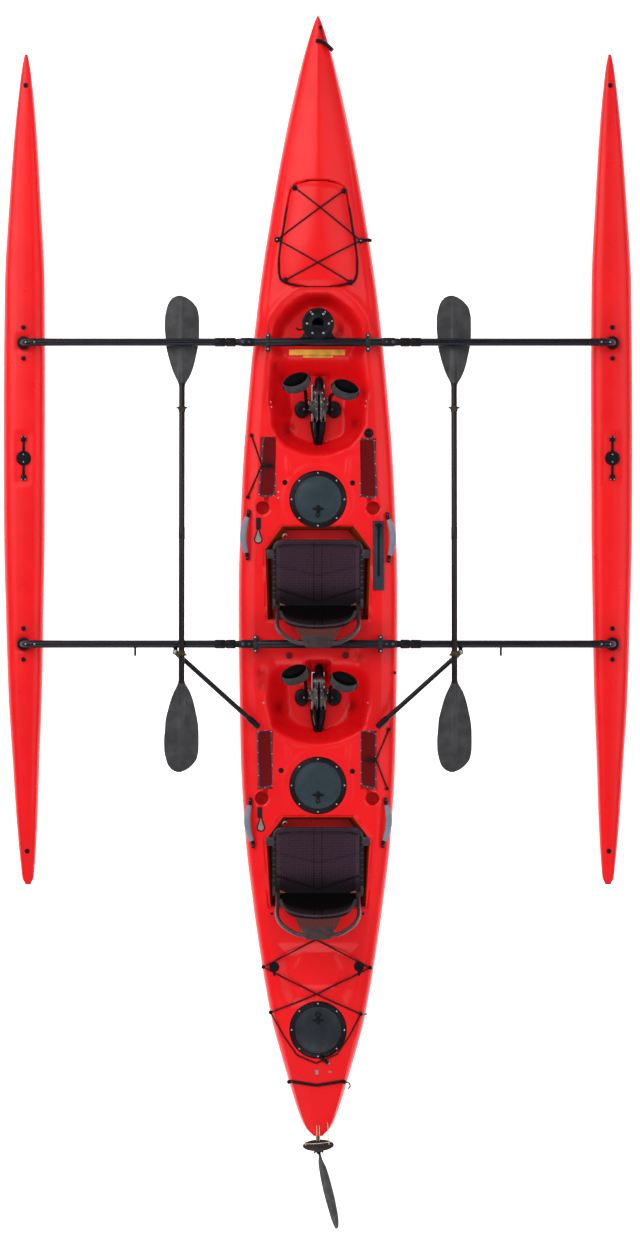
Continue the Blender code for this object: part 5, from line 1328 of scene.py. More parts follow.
def taut(points):
    """Lifts a line's points onto the chords that a tight cord takes over hollows."""
    points = [Vector(point) for point in points]
    spans = [0.0]
    for a, b in zip(points, points[1:]):
        spans.append(spans[-1] + math.hypot(b.x - a.x, b.y - a.y))
    hull = []
    for i, point in enumerate(points):
        while len(hull) > 1:
            a, b = hull[-2], hull[-1]
            rise = (points[b].z - points[a].z) * (spans[i] - spans[a]) - (point.z - points[a].z) * (spans[b] - spans[a])
            if rise > 0:
                break
            hull.pop()
        hull.append(i)
    heights = np.interp(spans, [spans[i] for i in hull], [points[i].z for i in hull])
    return [Vector((point.x, point.y, z)) for point, z in zip(points, heights)]


def lid_or_deck(x, y):
    return np.where(np.abs(x) < hatch_half(y), lid_top(x, y), crowned_deck(x, y))


def cord_over(spots, surface, lift, steps=14):
    """A tight line over a surface through (x, y) spots."""
    points = []
    for (xa, ya), (xb, yb) in zip(spots, spots[1:]):
        places = [(xa + (xb - xa) * k / steps, ya + (yb - ya) * k / steps) for k in range(steps + 1)]
        leg = taut([point_on(surface, x, y, lift) for x, y in places])
        points += leg[1 if points else 0:]
    return points


def add_deck_knob(bm, spot, radius, height):
    """A waisted button that shock cord goes round."""
    profile = [(0, -0.004), (radius, -0.004), (radius, 0.001), (0.6 * radius, 0.003), (0.55 * radius, 0.5 * height),
               (0.95 * radius, 0.7 * height), (0.9 * radius, 0.92 * height), (0.5 * radius, height), (0, height)]
    add_turned(bm, profile, spot)


def build_bow_hatch():
    """The crowned lid with its dark gasket, and the crossed shock cord that holds it down."""
    bow, stern = BOW_HATCH[0][0], BOW_HATCH[-1][0]

    def lid(u, v):
        y = stern + (bow - stern) * v
        fall = 0.010 * float(1 - ease(min(bow - y, y - stern) / 0.035))
        return point_on(lid_top, (2 * u - 1) * float(hatch_half(y)), y, -fall)

    bm, gasket, knobs, hooks, dots, cords = new_shapes(6)
    add_grid(bm, 56, 90, lid)
    rim = bmesh.ops.extrude_edge_only(bm, edges=[e for e in bm.edges if e.is_boundary])
    for item in rim["geom"]:
        if isinstance(item, bmesh.types.BMVert):
            item.co.z = BOW_HATCH_FLOOR + 0.0003
    close_ends(bm)
    path = smooth_path([spot for spot in rounded_outline(BOW_HATCH, 0.005) if spot[1] < 1.945], 5)
    add_sweep(gasket, [point_on(crowned_deck, *spot, -0.001) for spot in path], 0.0062, 10)
    corners = [(x * 0.91, y) for x, y in BOW_KNOBS]
    for corner in corners:
        add_deck_knob(knobs, point_on(lid_top, *corner), 0.0145, 0.014)
    for hook in BOW_HOOKS:
        add_deck_knob(hooks, point_on(crowned_deck, *hook), 0.0145, 0.016)
        add_screws(dots, [point_on(crowned_deck, *hook, 0.016)], 0.004)
    tab = point_on(crowned_deck, *BOW_HOOKS[1], 0.008)
    steps = [(0, 0, 0), (0.03, 0.003, -0.002), (0.052, 0.002, -0.010)]
    add_sweep(hooks, smooth_path([tab + Vector(step) for step in steps], 4), 0.0095, 12)
    cord = shock_cord()
    left, right = BOW_HOOKS
    for ends in ((corners[0], right), (corners[1], left), (left, corners[3]), (right, corners[2])):
        add_sweep(cords, cord_over(ends, lid_or_deck, cord + 0.002), cord)
    piece_from(bm, "bow_hatch_lid_shell", "hull", "bow_hatch_lid", "bow_hatch_lid")
    piece_from(gasket, "bow_hatch_gasket", "bungee", "hull")
    piece_from(knobs, "bow_hatch_knobs", "black", "bow_hatch_lid")
    piece_from(hooks, "bow_hatch_hooks", "black", "hull")
    piece_from(dots, "bow_hatch_hook_screws", "steel", "hull")
    piece_from(cords, "bow_hatch_cord", "bungee", "bow_hatch_lid")


def build_pocket(name):
    """A mesh pocket let into the side deck: a piped rim, rivets and a net that sags a little."""
    corners = [Vector((x, y, 0)) for x, y in POCKETS[name]]
    rim_z = float(deck_level(sum(corners, Vector()).y / 4)) + 0.0005

    def net_shape(u, v):
        spot = corners[3].lerp(corners[2], u).lerp(corners[0].lerp(corners[1], u), v)
        belly = 16 * u * (1 - u) * v * (1 - v)
        return spot.x, spot.y, rim_z - 0.006 * belly - 0.0015 * math.sin(9 * u + 5 * v) * belly

    bm, piping, rivets = new_shapes(3)
    add_grid(bm, 14, 44, net_shape, "xy")
    bmesh.ops.solidify(bm, geom=bm.faces[:], thickness=0.0015)
    net = piece_from(bm, f"mesh_pocket_{name}_net", "net", "hull", f"mesh_pocket_{name}")
    rounded = []
    for i, corner in enumerate(corners):
        for other in (corners[i - 1], corners[(i + 1) % 4]):
            rounded.append(corner + (other - corner).normalized() * 0.012)
    path = []
    for a, b in zip(rounded, rounded[1:] + rounded[:1]):
        steps = 1 if (b - a).length < 0.03 else 8
        path += [a.lerp(b, k / steps) for k in range(steps)]
    add_sweep(piping, [(p.x, p.y, rim_z) for p in path], 0.0052, flat=0.55, closed=True)
    for corner, following in zip(corners, corners[1:] + corners[:1]):
        count = 5 if (following - corner).length > 0.2 else 2
        spots = [corner.lerp(following, (k + 0.15) / count) for k in range(count)]
        add_screws(rivets, [(spot.x, spot.y, rim_z + 0.0026) for spot in spots], 0.0028)
    piece_from(piping, f"mesh_pocket_{name}_piping", "piping", "hull")
    piece_from(rivets, f"mesh_pocket_{name}_rivets", "steel", "hull")


def build_pocket_cords():
    """Shock cord that runs from the side deck to a hook on the pocket and back, and a ball on one pocket."""
    cord = shock_cord()
    bm, caps = new_shapes(2)
    for places in POCKET_CORDS:
        line = cord_over(places, deck_surface, cord)
        add_sweep(bm, line, cord)
        for spot in (line[0], line[-1]):
            add_turned(caps, [(0, -0.004), (0.009, -0.004), (0.0095, 0.004), (0.006, 0.009), (0, 0.010)], spot, 20)
        hook = line[len(line) // 2]
        inner = hook.x - math.copysign(0.055, hook.x)
        add_box(caps, (hook.x, hook.y - 0.0085, hook.z - 0.002), (inner, hook.y + 0.0085, hook.z + 0.005), 0.002)
    spot = on_deck(*POCKET_BALL)
    ball = Matrix.Translation(spot + Vector((0, 0, 0.010)))
    bmesh.ops.create_uvsphere(caps, u_segments=24, v_segments=14, radius=0.017, matrix=ball)
    add_post(caps, spot.xy, spot.z, spot.z + 0.004, 0.024, 28, 0.0015)
    piece_from(bm, "pocket_cords", "bungee", "hull")
    piece_from(caps, "pocket_cord_ends", "black", "hull")


def build_carry_handle(name):
    """A nearly straight grip between two black capsules that are bolted to the gunwale."""
    side, y = HANDLES[name]
    roots = []
    for end in (y - 0.109, y + 0.109):
        x = side * (GUNWALE_SHARE * float(half_beam(end)) + 0.014)
        roots.append(Vector((x, end, float(deck_level(end)) - 0.006)))
    grip, feet, bolts = new_shapes(3)
    path, radii = [], []
    for k in range(25):
        t = 0.09 + 0.82 * k / 24
        bow = math.sin(math.pi * t)
        path.append(roots[0].lerp(roots[1], t) + Vector((side * 0.022 * bow, 0, 0.0175 + 0.020 * bow)))
        radii.append(0.0095 + 0.0065 * bow)
    add_sweep(grip, path, radii, 24, flat=0.60)
    for spot, radius in list(zip(path, radii))[8:17:2]:
        band = ellipse((spot.x, spot.z), 1.03 * radius, 0.636 * radius, 24)
        add_sweep(grip, [(x, spot.y, z) for x, z in band], 0.0010, 6, closed=True)
    for root, way in zip(roots, (-1, 1)):
        foot = capsule(root.x, root.y - 0.0105, root.y + 0.0105, 0.009)
        add_plate(feet, foot, root.z + 0.0003, root.z + 0.020, 0.005, 3)
        near = roots[0].lerp(roots[1], 0.5 + way * 0.37) + Vector((side * 0.008, 0, 0.024))
        bend = root.lerp(near, 0.5) + Vector((0, 0, 0.004))
        add_sweep(feet, [root + Vector((0, 0, 0.012)), bend, near], 0.0088, 20, flat=0.8)
        add_screws(bolts, [root + Vector((0, way * 0.006, 0.0198))], 0.0045)
    piece_from(grip, f"carry_handle_{name}_grip", "grip", "hull", f"carry_handle_{name}")
    piece_from(feet, f"carry_handle_{name}_feet", "black", "hull")
    piece_from(bolts, f"carry_handle_{name}_bolts", "bolt", "hull")


def build_steering_plate():
    """The steering lever's plate: a slot that the lever runs in, its knob forward, bolts at the corners."""
    x, y, half_x, half_y = 0.3065, 0.103, 0.027, 0.174
    seat = float(deck_level(y)) - 0.0027
    bm, lever, screws = new_shapes(3)
    add_block(bm, (x, y), (half_x, half_y), seat, seat + 0.012, 0.004, 3)
    add_box(bm, (x - 0.016, y - half_y + 0.02, seat + 0.010), (x + 0.016, y + half_y - 0.048, seat + 0.015), 0.003, 3)
    add_plate(lever, capsule(x, 0.004, 0.262, 0.0062), seat + 0.0145, seat + 0.0156)
    knob_y = y + half_y - 0.022
    add_post(lever, (x, knob_y), seat + 0.006, seat + 0.033, 0.0075)
    add_block(lever, (x, knob_y), (0.019, 0.008), seat + 0.028, seat + 0.044, 0.006, 3)
    add_box(lever, (x - 0.006, knob_y - 0.050, seat + 0.016), (x + 0.006, knob_y, seat + 0.022), 0.002)
    corners = [(x + dx, y + dy, seat + 0.012) for dx in (-0.018, 0.018) for dy in (0.010 - half_y, half_y - 0.010)]
    add_screws(screws, corners, 0.0042)
    piece_from(bm, "steering_plate", "slate", "hull", "steering_handle")
    piece_from(lever, "steering_lever", "black", "hull")
    piece_from(screws, "steering_plate_screws", "bolt", "hull")


def build_small_fittings():
    """Plugs, paddle keepers, the bow's pad eye and toggle, and the sockets behind the rear crossbar."""
    plugs, toggle, line, rims, studs, straps, pads = new_shapes(7)
    for x, y, r in DECK_PLUGS:
        profile = [(0, -0.004), (r, -0.004), (r, 0.001), (0.85 * r, 0.0032), (0.5 * r, 0.0022), (0, 0.0022)]
        add_turned(plugs, profile, on_deck(x, y), 28)
        if r > 0.02:
            low = on_deck(x, y - 0.034)
            add_box(plugs, low - Vector((0.006, 0.012, 0.002)), low + Vector((0.006, 0.014, 0.006)), 0.002)
    eye = on_deck(*BOW_EYE)
    add_turned(plugs, [(0, -0.004), (0.010, -0.004), (0.010, 0.002), (0.007, 0.004), (0, 0.004)], eye, 20)
    add_sweep(plugs, [eye + Vector((x, 0, 0.006 + z)) for x, z in polar((0, 0), 0.0075, 0, 180, 12)], 0.002)
    a, b, c = [on_deck(x, y, 0.014) for x, y in BOW_TOGGLE]
    c.z = a.z
    add_sweep(toggle, smooth_path([a, b, c], 8), 0.0105, 20)
    up = Vector((0, 0, 0.006))
    add_sweep(line, smooth_path([eye + up, eye.lerp(b, 0.5) + up, b], 5), 0.0025)
    # The scupper rims are a deep red as painted shade of the recesses they mark
    rim = [(0, -0.004), (0.0165, -0.004), (0.0165, 0.0015), (0.0125, 0.002), (0.0115, -0.001), (0, -0.001)]
    for spot in RECESS_PLUGS:
        add_turned(rims, rim, on_deck(*spot, 0.005), 28)
    for spot in PALE_DOTS:
        add_turned(studs, [(0, -0.003), (0.0045, -0.003), (0.004, 0.0015), (0, 0.002)], on_deck(*spot), 16)
    for top, bottom in PADDLE_KEEPERS:
        a, b = on_deck(*top), on_deck(*bottom)
        add_box(straps, (a.x - 0.0125, a.lerp(b, 0.45).y, a.z - 0.001), (a.x + 0.0125, a.y, a.z + 0.004), 0.0015)
        for bm, grow, low, high in ((straps, 1.22, -0.003, 0.004), (pads, 0.86, 0.003, 0.008)):
            pear = []
            for across, ahead in ellipse((0, 0), 1, 1, 32):
                peak = max(0.0, ahead) ** 2
                pear.append((b.x + grow * (0.0185 - 0.010 * peak) * across,
                             b.y + 0.019 + grow * (0.0185 + 0.036 * peak) * ahead))
            add_plate(bm, pear, b.z + low, b.z + high, 0.0015)
    for bm, name, finish_name in ((plugs, "deck_plugs", "black"), (toggle, "bow_toggle", "black"),
                                  (line, "bow_toggle_line", "bungee"), (rims, "scupper_rims", "scupper_shade"),
                                  (studs, "pale_studs", "steel"), (straps, "paddle_keeper_straps", "webbing"),
                                  (pads, "paddle_keeper_pads", "pale")):
        piece_from(bm, name, finish_name, "hull")


def build_stern_cords():
    """Shock cord criss-crossed over the tray behind the rear seat, its hooks and the strap across the stern."""
    cord = shock_cord()
    cords, hooks, cleats = new_shapes(3)
    for run in STERN_RUNS:
        add_sweep(cords, cord_over(run, deck_surface, cord + 0.001), cord)
    for step in (0.0, 0.009):
        add_sweep(cords, cord_over([(x, y + step) for x, y in STERN_STRAP], deck_surface, cord), cord)
    end = on_deck(*STERN_STRAP[-1], cord)
    loop = [(0, 0, 0), (0.022, -0.004, -0.002), (0.030, -0.022, -0.008), (0.020, -0.034, -0.006)]
    add_sweep(cords, smooth_path([end + Vector(step) for step in loop], 5), cord)
    spots = [run[1] for run in STERN_RUNS[:2]] + [run[0] for run in STERN_RUNS[2:]]
    for spot in spots + [STERN_STRAP[0], STERN_STRAP[-1]]:
        add_deck_knob(hooks, on_deck(*spot), 0.0105, 0.014)
    turn = Matrix.Translation(on_deck(0.0323, -2.4468, 0.006)) @ Matrix.Rotation(math.radians(-38), 4, "Z")
    add_box(hooks, (-0.024, -0.0085, -0.006), (0.024, 0.0085, 0.008), 0.004, 2, turn)
    for (x, y), half in STERN_CLEATS:
        spot = on_deck(x, y)
        add_box(cleats, spot - Vector((half[0], half[1], 0.001)), spot + Vector(half), 0.0015)
    piece_from(cords, "stern_cords", "bungee", "hull")
    piece_from(hooks, "stern_cord_hooks", "black", "hull")
    piece_from(cleats, "stern_cleats", "pale", "hull")


# Pedal drives

CRANK_Z = 0.118
CRANK_LENGTH = 0.340
SHAFT_Z = -0.180
DRIVE_TAIL = [(0.022, -0.060, 0.092), (0.018, -0.110, 0.088), (0.011, -0.160, 0.074), (0.006, -0.184, 0.062)]
# Half outlines of the cast spine and of the ridge on it: (across, ahead of the crank's axle)
DRIVE_SPINE = [
    (0.0035, 0.088), (0.016, 0.098), (0.028, 0.092), (0.032, 0.078), (0.022, 0.064), (0.024, 0.048), (0.040, 0.040),
    (0.052, 0.026), (0.054, 0.010), (0.044, -0.006), (0.034, -0.022), (0.036, -0.060), (0.033, -0.066), (0.026, -0.064),
    (0.022, -0.052), (0.018, -0.064), (0.010, -0.066), (0.0035, -0.052),
]
DRIVE_RIDGE = [(0.007, 0.050), (0.020, 0.046), (0.026, 0.020), (0.030, -0.010), (0.024, -0.030), (0.009, -0.034)]
CRANK_LEAN = {"left": 20.2, "right": 14.1}


def build_drive(end):
    """The drive's body: black ends, a cast spine in two halves, drums each side, and the shaft under the hull."""
    y = DRIVES[end]
    black, metal, bolts = new_shapes(3)
    nose = DRIVE_SHIFT + 0.001
    add_box(black, (-0.030, y - 0.125, -0.152), (0.030, y + 0.125, 0.062), 0.006)
    add_rod(black, (nose, y + 0.060, 0.088), (nose, y + 0.158, 0.070), 0.030, 28, 0.008, 0.020)
    add_post(black, (nose, y + 0.150), 0.060, 0.082, 0.019, 28, 0.004)
    add_rod(metal, (nose, y + 0.070, 0.085), (nose, y + 0.105, 0.100), 0.024, 24, 0.006)
    glint = smooth_path([(-0.020, y - 0.066, 0.110), (-0.023, y - 0.100, 0.104), (-0.016, y - 0.140, 0.094)], 5)
    add_sweep(metal, glint, 0.0042, 12)
    for side in SIDES.values():
        # The tail narrows to a rounded tip with a groove along it
        path = smooth_path([(side * x, y + dy, z) for x, dy, z in DRIVE_TAIL], 5)
        add_sweep(black, path, [0.020 - 0.010 * k / (len(path) - 1) for k in range(len(path))], 20)
        drum = Matrix.Translation((side * 0.082, y, 0)) @ Matrix.Diagonal((0.90, 1.06, 1, 1))
        add_turned(black, [(0, 0.0455), (0.034, 0.0455), (0.040, 0.050), (0.041, 0.060), (0.037, 0.068), (0.026, 0.072),
                           (0.012, 0.072), (0, 0.070)], drum, 40)
        add_box(black, (side * 0.020, y - 0.020, 0.050), (side * 0.090, y + 0.022, 0.070), 0.006)
        for outline, low, high, rounding in ((DRIVE_SPINE, 0.096, 0.132, 0.006), (DRIVE_RIDGE, 0.128, 0.140, 0.005)):
            add_plate(metal, [(DRIVE_SHIFT + side * x, y + dy) for x, dy in outline], low, high, rounding, 3)
        add_rod(metal, (side * 0.020, y, CRANK_Z), (side * 0.074, y, CRANK_Z), 0.0062, rounding=0.001)
        add_rod(metal, (side * 0.030, y, CRANK_Z), (side * 0.044, y, CRANK_Z), 0.0125, 24, 0.002)
        add_box(metal, (side * 0.040, y + 0.046, 0.066), (side * 0.056, y + 0.058, 0.084), 0.003)
        places = ((0.013, 0.036, 0.140), (0.013, 0.0, 0.140), (0.045, 0.024, 0.132), (0.018, 0.082, 0.132))
        add_screws(bolts, [(DRIVE_SHIFT + side * dx, y + dy, z) for dx, dy, z in places], 0.0038)
        add_bolt(bolts, (side * 0.050, y + 0.034, 0.071), 0.0055)
    add_rod(metal, (0, y - 0.118, SHAFT_Z), (0, y + 0.118, SHAFT_Z), 0.006, rounding=0.001)
    for offset in (-0.112, 0.006, 0.112):
        add_box(metal, (-0.009, y + offset - 0.005, SHAFT_Z - 0.009), (0.009, y + offset + 0.005, -0.140), 0.002)
    piece_from(black, f"drive_{end}_casing", "black", "hull", f"drive_{end}_frame")
    piece_from(metal, f"drive_{end}_spine", "metal", "hull")
    piece_from(bolts, f"drive_{end}_bolts", "steel", "hull")


def build_pedal(end, name, side):
    """A crank that bends out to an oval foot plate, with a low strap over its aft half."""
    y = DRIVES[end]
    body = f"pedal_{end}_{name}"
    lean = math.radians(CRANK_LEAN[name])
    along = Vector((0, math.sin(lean), math.cos(lean)))
    axle = Vector((side * 0.060, y, CRANK_Z))
    centre = Vector((side * PEDAL_X + PEDAL_SHIFT[end], y, CRANK_Z)) + along * CRANK_LENGTH
    bm, strap = new_shapes(2)
    add_turned(bm, [(0.018, -0.0085), (0.018, 0.0085), (0.0068, 0.0085), (0.0068, -0.0085)],
               Matrix.Translation(axle) @ Matrix.Rotation(math.radians(90), 4, "Y"), 32)
    knee = axle + along * (CRANK_LENGTH * 0.72) + Vector((side * 0.006, 0, 0))
    tip = centre - Vector((side * 0.012, 0, 0.006))
    add_sweep(bm, smooth_path([axle + along * 0.013, axle + along * 0.12, knee, tip], 6), 0.0088, 16)
    pose = (Matrix.Translation(centre) @ Matrix.Rotation(math.radians(-side * 20), 4, "Z")
            @ Matrix.Rotation(math.radians(30), 4, "X"))
    add_plate(bm, ellipse((0, 0), 0.074, 0.052, 48), -0.010, 0.001, 0.003, matrix=pose)
    rim = [pose @ Vector((*spot, 0.002)) for spot in ellipse((0, 0), 0.070, 0.048, 48)]
    add_sweep(bm, rim, 0.003, 8, closed=True)
    for k in range(-3, 4):
        half = 0.058 * math.sqrt(max(0.0, 1 - (k * 0.013 / 0.052) ** 2))
        add_box(bm, (-half, k * 0.013 - 0.002, -0.001), (half, k * 0.013 + 0.002, 0.003), 0.0008, 1, pose)

    def strap_shape(u, v):
        angle = math.pi * u
        rise = 0.026 * math.sin(angle) ** 0.7 * math.sin(math.pi * (0.12 + 0.60 * v))
        return -0.068 * math.cos(angle), -(0.050 - 0.004 * v) * math.sin(angle) ** 0.8 + 0.044 * v, 0.003 + rise

    add_grid(strap, 36, 8, strap_shape)
    bmesh.ops.solidify(strap, geom=strap.faces[:], thickness=0.003)
    bmesh.ops.transform(strap, matrix=pose, verts=strap.verts)
    piece_from(bm, f"pedal_{end}_{name}_plate", "pedal", body, body)
    piece_from(strap, f"pedal_{end}_{name}_strap", "strap", body, angle=50)


def build_fins(end):
    """Two flexible fins, each with a stiff mast down its leading edge."""
    y = DRIVES[end]
    chord = smooth_curve([(0.010, 0.024), (0.06, 0.075), (0.16, 0.098), (0.27, 0.092), (0.36, 0.062), (0.400, 0.026)])

    def fin(u, v):
        depth = 0.010 + 0.390 * (1 - v)
        ripple = 0.0012 * math.sin(u * 30) * (1 - depth / 0.4)
        return ripple, lead - u * float(chord(depth)), SHAFT_Z - depth

    for name, lead, rest in (("fore", y + 0.100, 12.2), ("aft", y - 0.008, -12.2)):
        bm = bmesh.new()
        add_grid(bm, 16, 36, fin)
        bmesh.ops.solidify(bm, geom=bm.faces[:], thickness=0.004)
        add_turned(bm, [(0.013, -0.014), (0.013, 0.014), (0.0068, 0.014), (0.0068, -0.014)],
                   Matrix.Translation((0, lead - 0.012, SHAFT_Z)) @ Matrix.Rotation(math.radians(90), 4, "X"), 32)
        mast = [(0, lead - 0.004, -0.185), (0, lead - 0.005, -0.36), (0, lead - 0.004, -0.572)]
        add_sweep(bm, mast, [0.0058, 0.0048, 0.003], 16)
        bmesh.ops.transform(bm, matrix=turned_about((0, y, SHAFT_Z), rest, "Y"), verts=bm.verts)
        body = f"fin_{end}_{name}"
        piece_from(bm, f"fin_{end}_{name}_blade", "fin", body, body, 50)


# Seat frames

# Half of the back's hoop and of the band over its cloth, in the leaning plane: (across, height over the hinge)
HOOP = [(-0.202, 0.0), (-0.204, 0.12), (-0.206, 0.19), (-0.200, 0.25), (-0.182, 0.305), (-0.150, 0.355),
        (-0.105, 0.400), (-0.060, 0.412)]
BAND = [(-0.190, 0.07), (-0.178, 0.130), (-0.155, 0.178), (-0.118, 0.206), (-0.073, 0.226), (0, 0.236)]


def build_seat_frame(end):
    """Bent tubes on legs, brackets to the deck, the lacing that holds the mesh, the amber tabs and the hooks."""
    hinge = HINGES[end]
    front = hinge + SEAT_DEPTH
    half, corner, z = 0.222, 0.035, SEAT_HEIGHT
    bm, lacing, tabs, hooks = new_shapes(4)
    rail = mirrored([(-x, y) for x, y in
                     [(half, hinge - 0.012)] + polar((half - corner, front - corner), corner, 0, 90, 8)])
    add_sweep(bm, [(x, y, z) for x, y in rail], 0.011, 24)
    add_rod(bm, (-0.216, hinge + 0.03, z - 0.022), (0.216, hinge + 0.03, z - 0.022), 0.008)
    for side in SIDES.values():
        x = side * (half - 0.006)
        for leg_y in (front - 0.062, hinge + 0.03):
            add_post(bm, (x, leg_y), SEAT_FLOOR + 0.0003, z - 0.006, 0.010)
            add_post(bm, (x, leg_y), SEAT_FLOOR + 0.0003, SEAT_FLOOR + 0.020, 0.0115, rounding=0.002)
        add_box(bm, (side * half, front - 0.085, z - 0.008), (side * 0.266, front - 0.039, z + 0.012), 0.003)
        add_box(bm, (side * (half - 0.004), hinge - 0.012, z),
                (side * (half + 0.004), hinge + 0.012, SEAT_HINGE_Z + 0.008), 0.003)
        for k in range(9):
            spot = hinge + 0.050 + k * (SEAT_DEPTH - 0.10) / 8
            wide = 0.010 if k % 2 else 0.014
            add_rod(lacing, (side * half, spot - wide, z), (side * half, spot + wide, z), 0.0122, rounding=0.003)
        shape = [(side * 0.193, hinge + 0.016), (side * 0.193, hinge - 0.006), (side * 0.163, hinge + 0.004)]
        add_plate(tabs, shape, z + 0.010, z + 0.013, 0.0006)
    edge = [(x, front - 0.0115 - 0.016 * abs(x / 0.2) ** 6, z + 0.0105) for x in np.linspace(-0.198, 0.198, 17)]
    add_sweep(lacing, edge, 0.0042, 12)
    for x, y, side in SEAT_HOOKS:
        y += hinge - HINGES["front"]
        hook = [(x, y - 0.012, 0.190), (x, y, 0.205), (x - side * 0.012, y + 0.010, 0.207),
                (x - side * 0.020, y + 0.004, 0.2)]
        add_sweep(hooks, smooth_path(hook, 5), 0.0032, 12)
    piece_from(bm, f"seat_frame_{end}", "seat_tube", "hull", f"seat_{end}_frame")
    piece_from(lacing, f"seat_lacing_{end}", "webbing", "hull")
    piece_from(tabs, f"seat_tabs_{end}", "amber", "hull")
    piece_from(hooks, f"seat_hooks_{end}", "steel", "hull")


def build_seat_back(end):
    """The back's hoop with its head pad, the band over the cloth's top, and the web between band and pad."""
    body = f"seat_{end}_back"
    hoop, pad, band, web = new_shapes(4)
    add_sweep(hoop, smooth_path([(x, 0, height) for x, height in mirrored(HOOP)], 5), 0.011, 24)
    for side in SIDES.values():
        add_rod(hoop, (side * 0.202, 0, 0), (side * 0.2175, 0, 0), 0.009, rounding=0.002)
        add_post(hoop, (side * 0.203, 0), 0, 0.03, 0.0125, rounding=0.003)
    add_box(pad, (-0.080, -0.014, 0.345), (0.080, 0.016, 0.443), 0.013, 4)
    for vert in pad.verts:
        vert.co.x *= 1.08 - 0.30 * (vert.co.z - 0.345) / 0.098
    rows = mirrored(BAND)
    rows.remove(BAND[-1])
    add_sweep(band, smooth_path([(x, 0.0055, height) for x, height in rows], 6), 0.0036, 14, flat=2.5)

    def web_shape(u, v):
        x = (2 * u - 1) * (0.119 - 0.031 * v)
        low = float(back_top(abs(x))) - 0.006
        return x, -0.002 - 0.003 * math.sin(math.pi * v), low + (0.352 - low) * v

    add_grid(web, 20, 12, web_shape, "xz")
    bmesh.ops.solidify(web, geom=web.faces[:], thickness=0.003)
    for bm in (hoop, pad, band, web):
        bmesh.ops.transform(bm, matrix=back_place(HINGES[end]), verts=bm.verts)
    piece_from(hoop, f"seat_back_hoop_{end}", "seat_tube", body, f"seat_{end}_back_frame")
    piece_from(pad, f"seat_head_pad_{end}", "pad", body)
    piece_from(band, f"seat_back_band_{end}", "band", body)
    piece_from(web, f"seat_back_web_{end}", "web", body)


# Rudder

RUDDER_PIN_Y = -2.845
KICK_PIVOT = (0.0, -2.918, 0.125)
BLADE_LENGTH = 0.420
BLADE_CHORD = [
    (0, 0.034), (0.05, 0.080), (0.15, 0.1222), (0.22, 0.130), (0.32, 0.112), (0.39, 0.072), (BLADE_LENGTH, 0.024),
]
BLADE_TWIST = 14


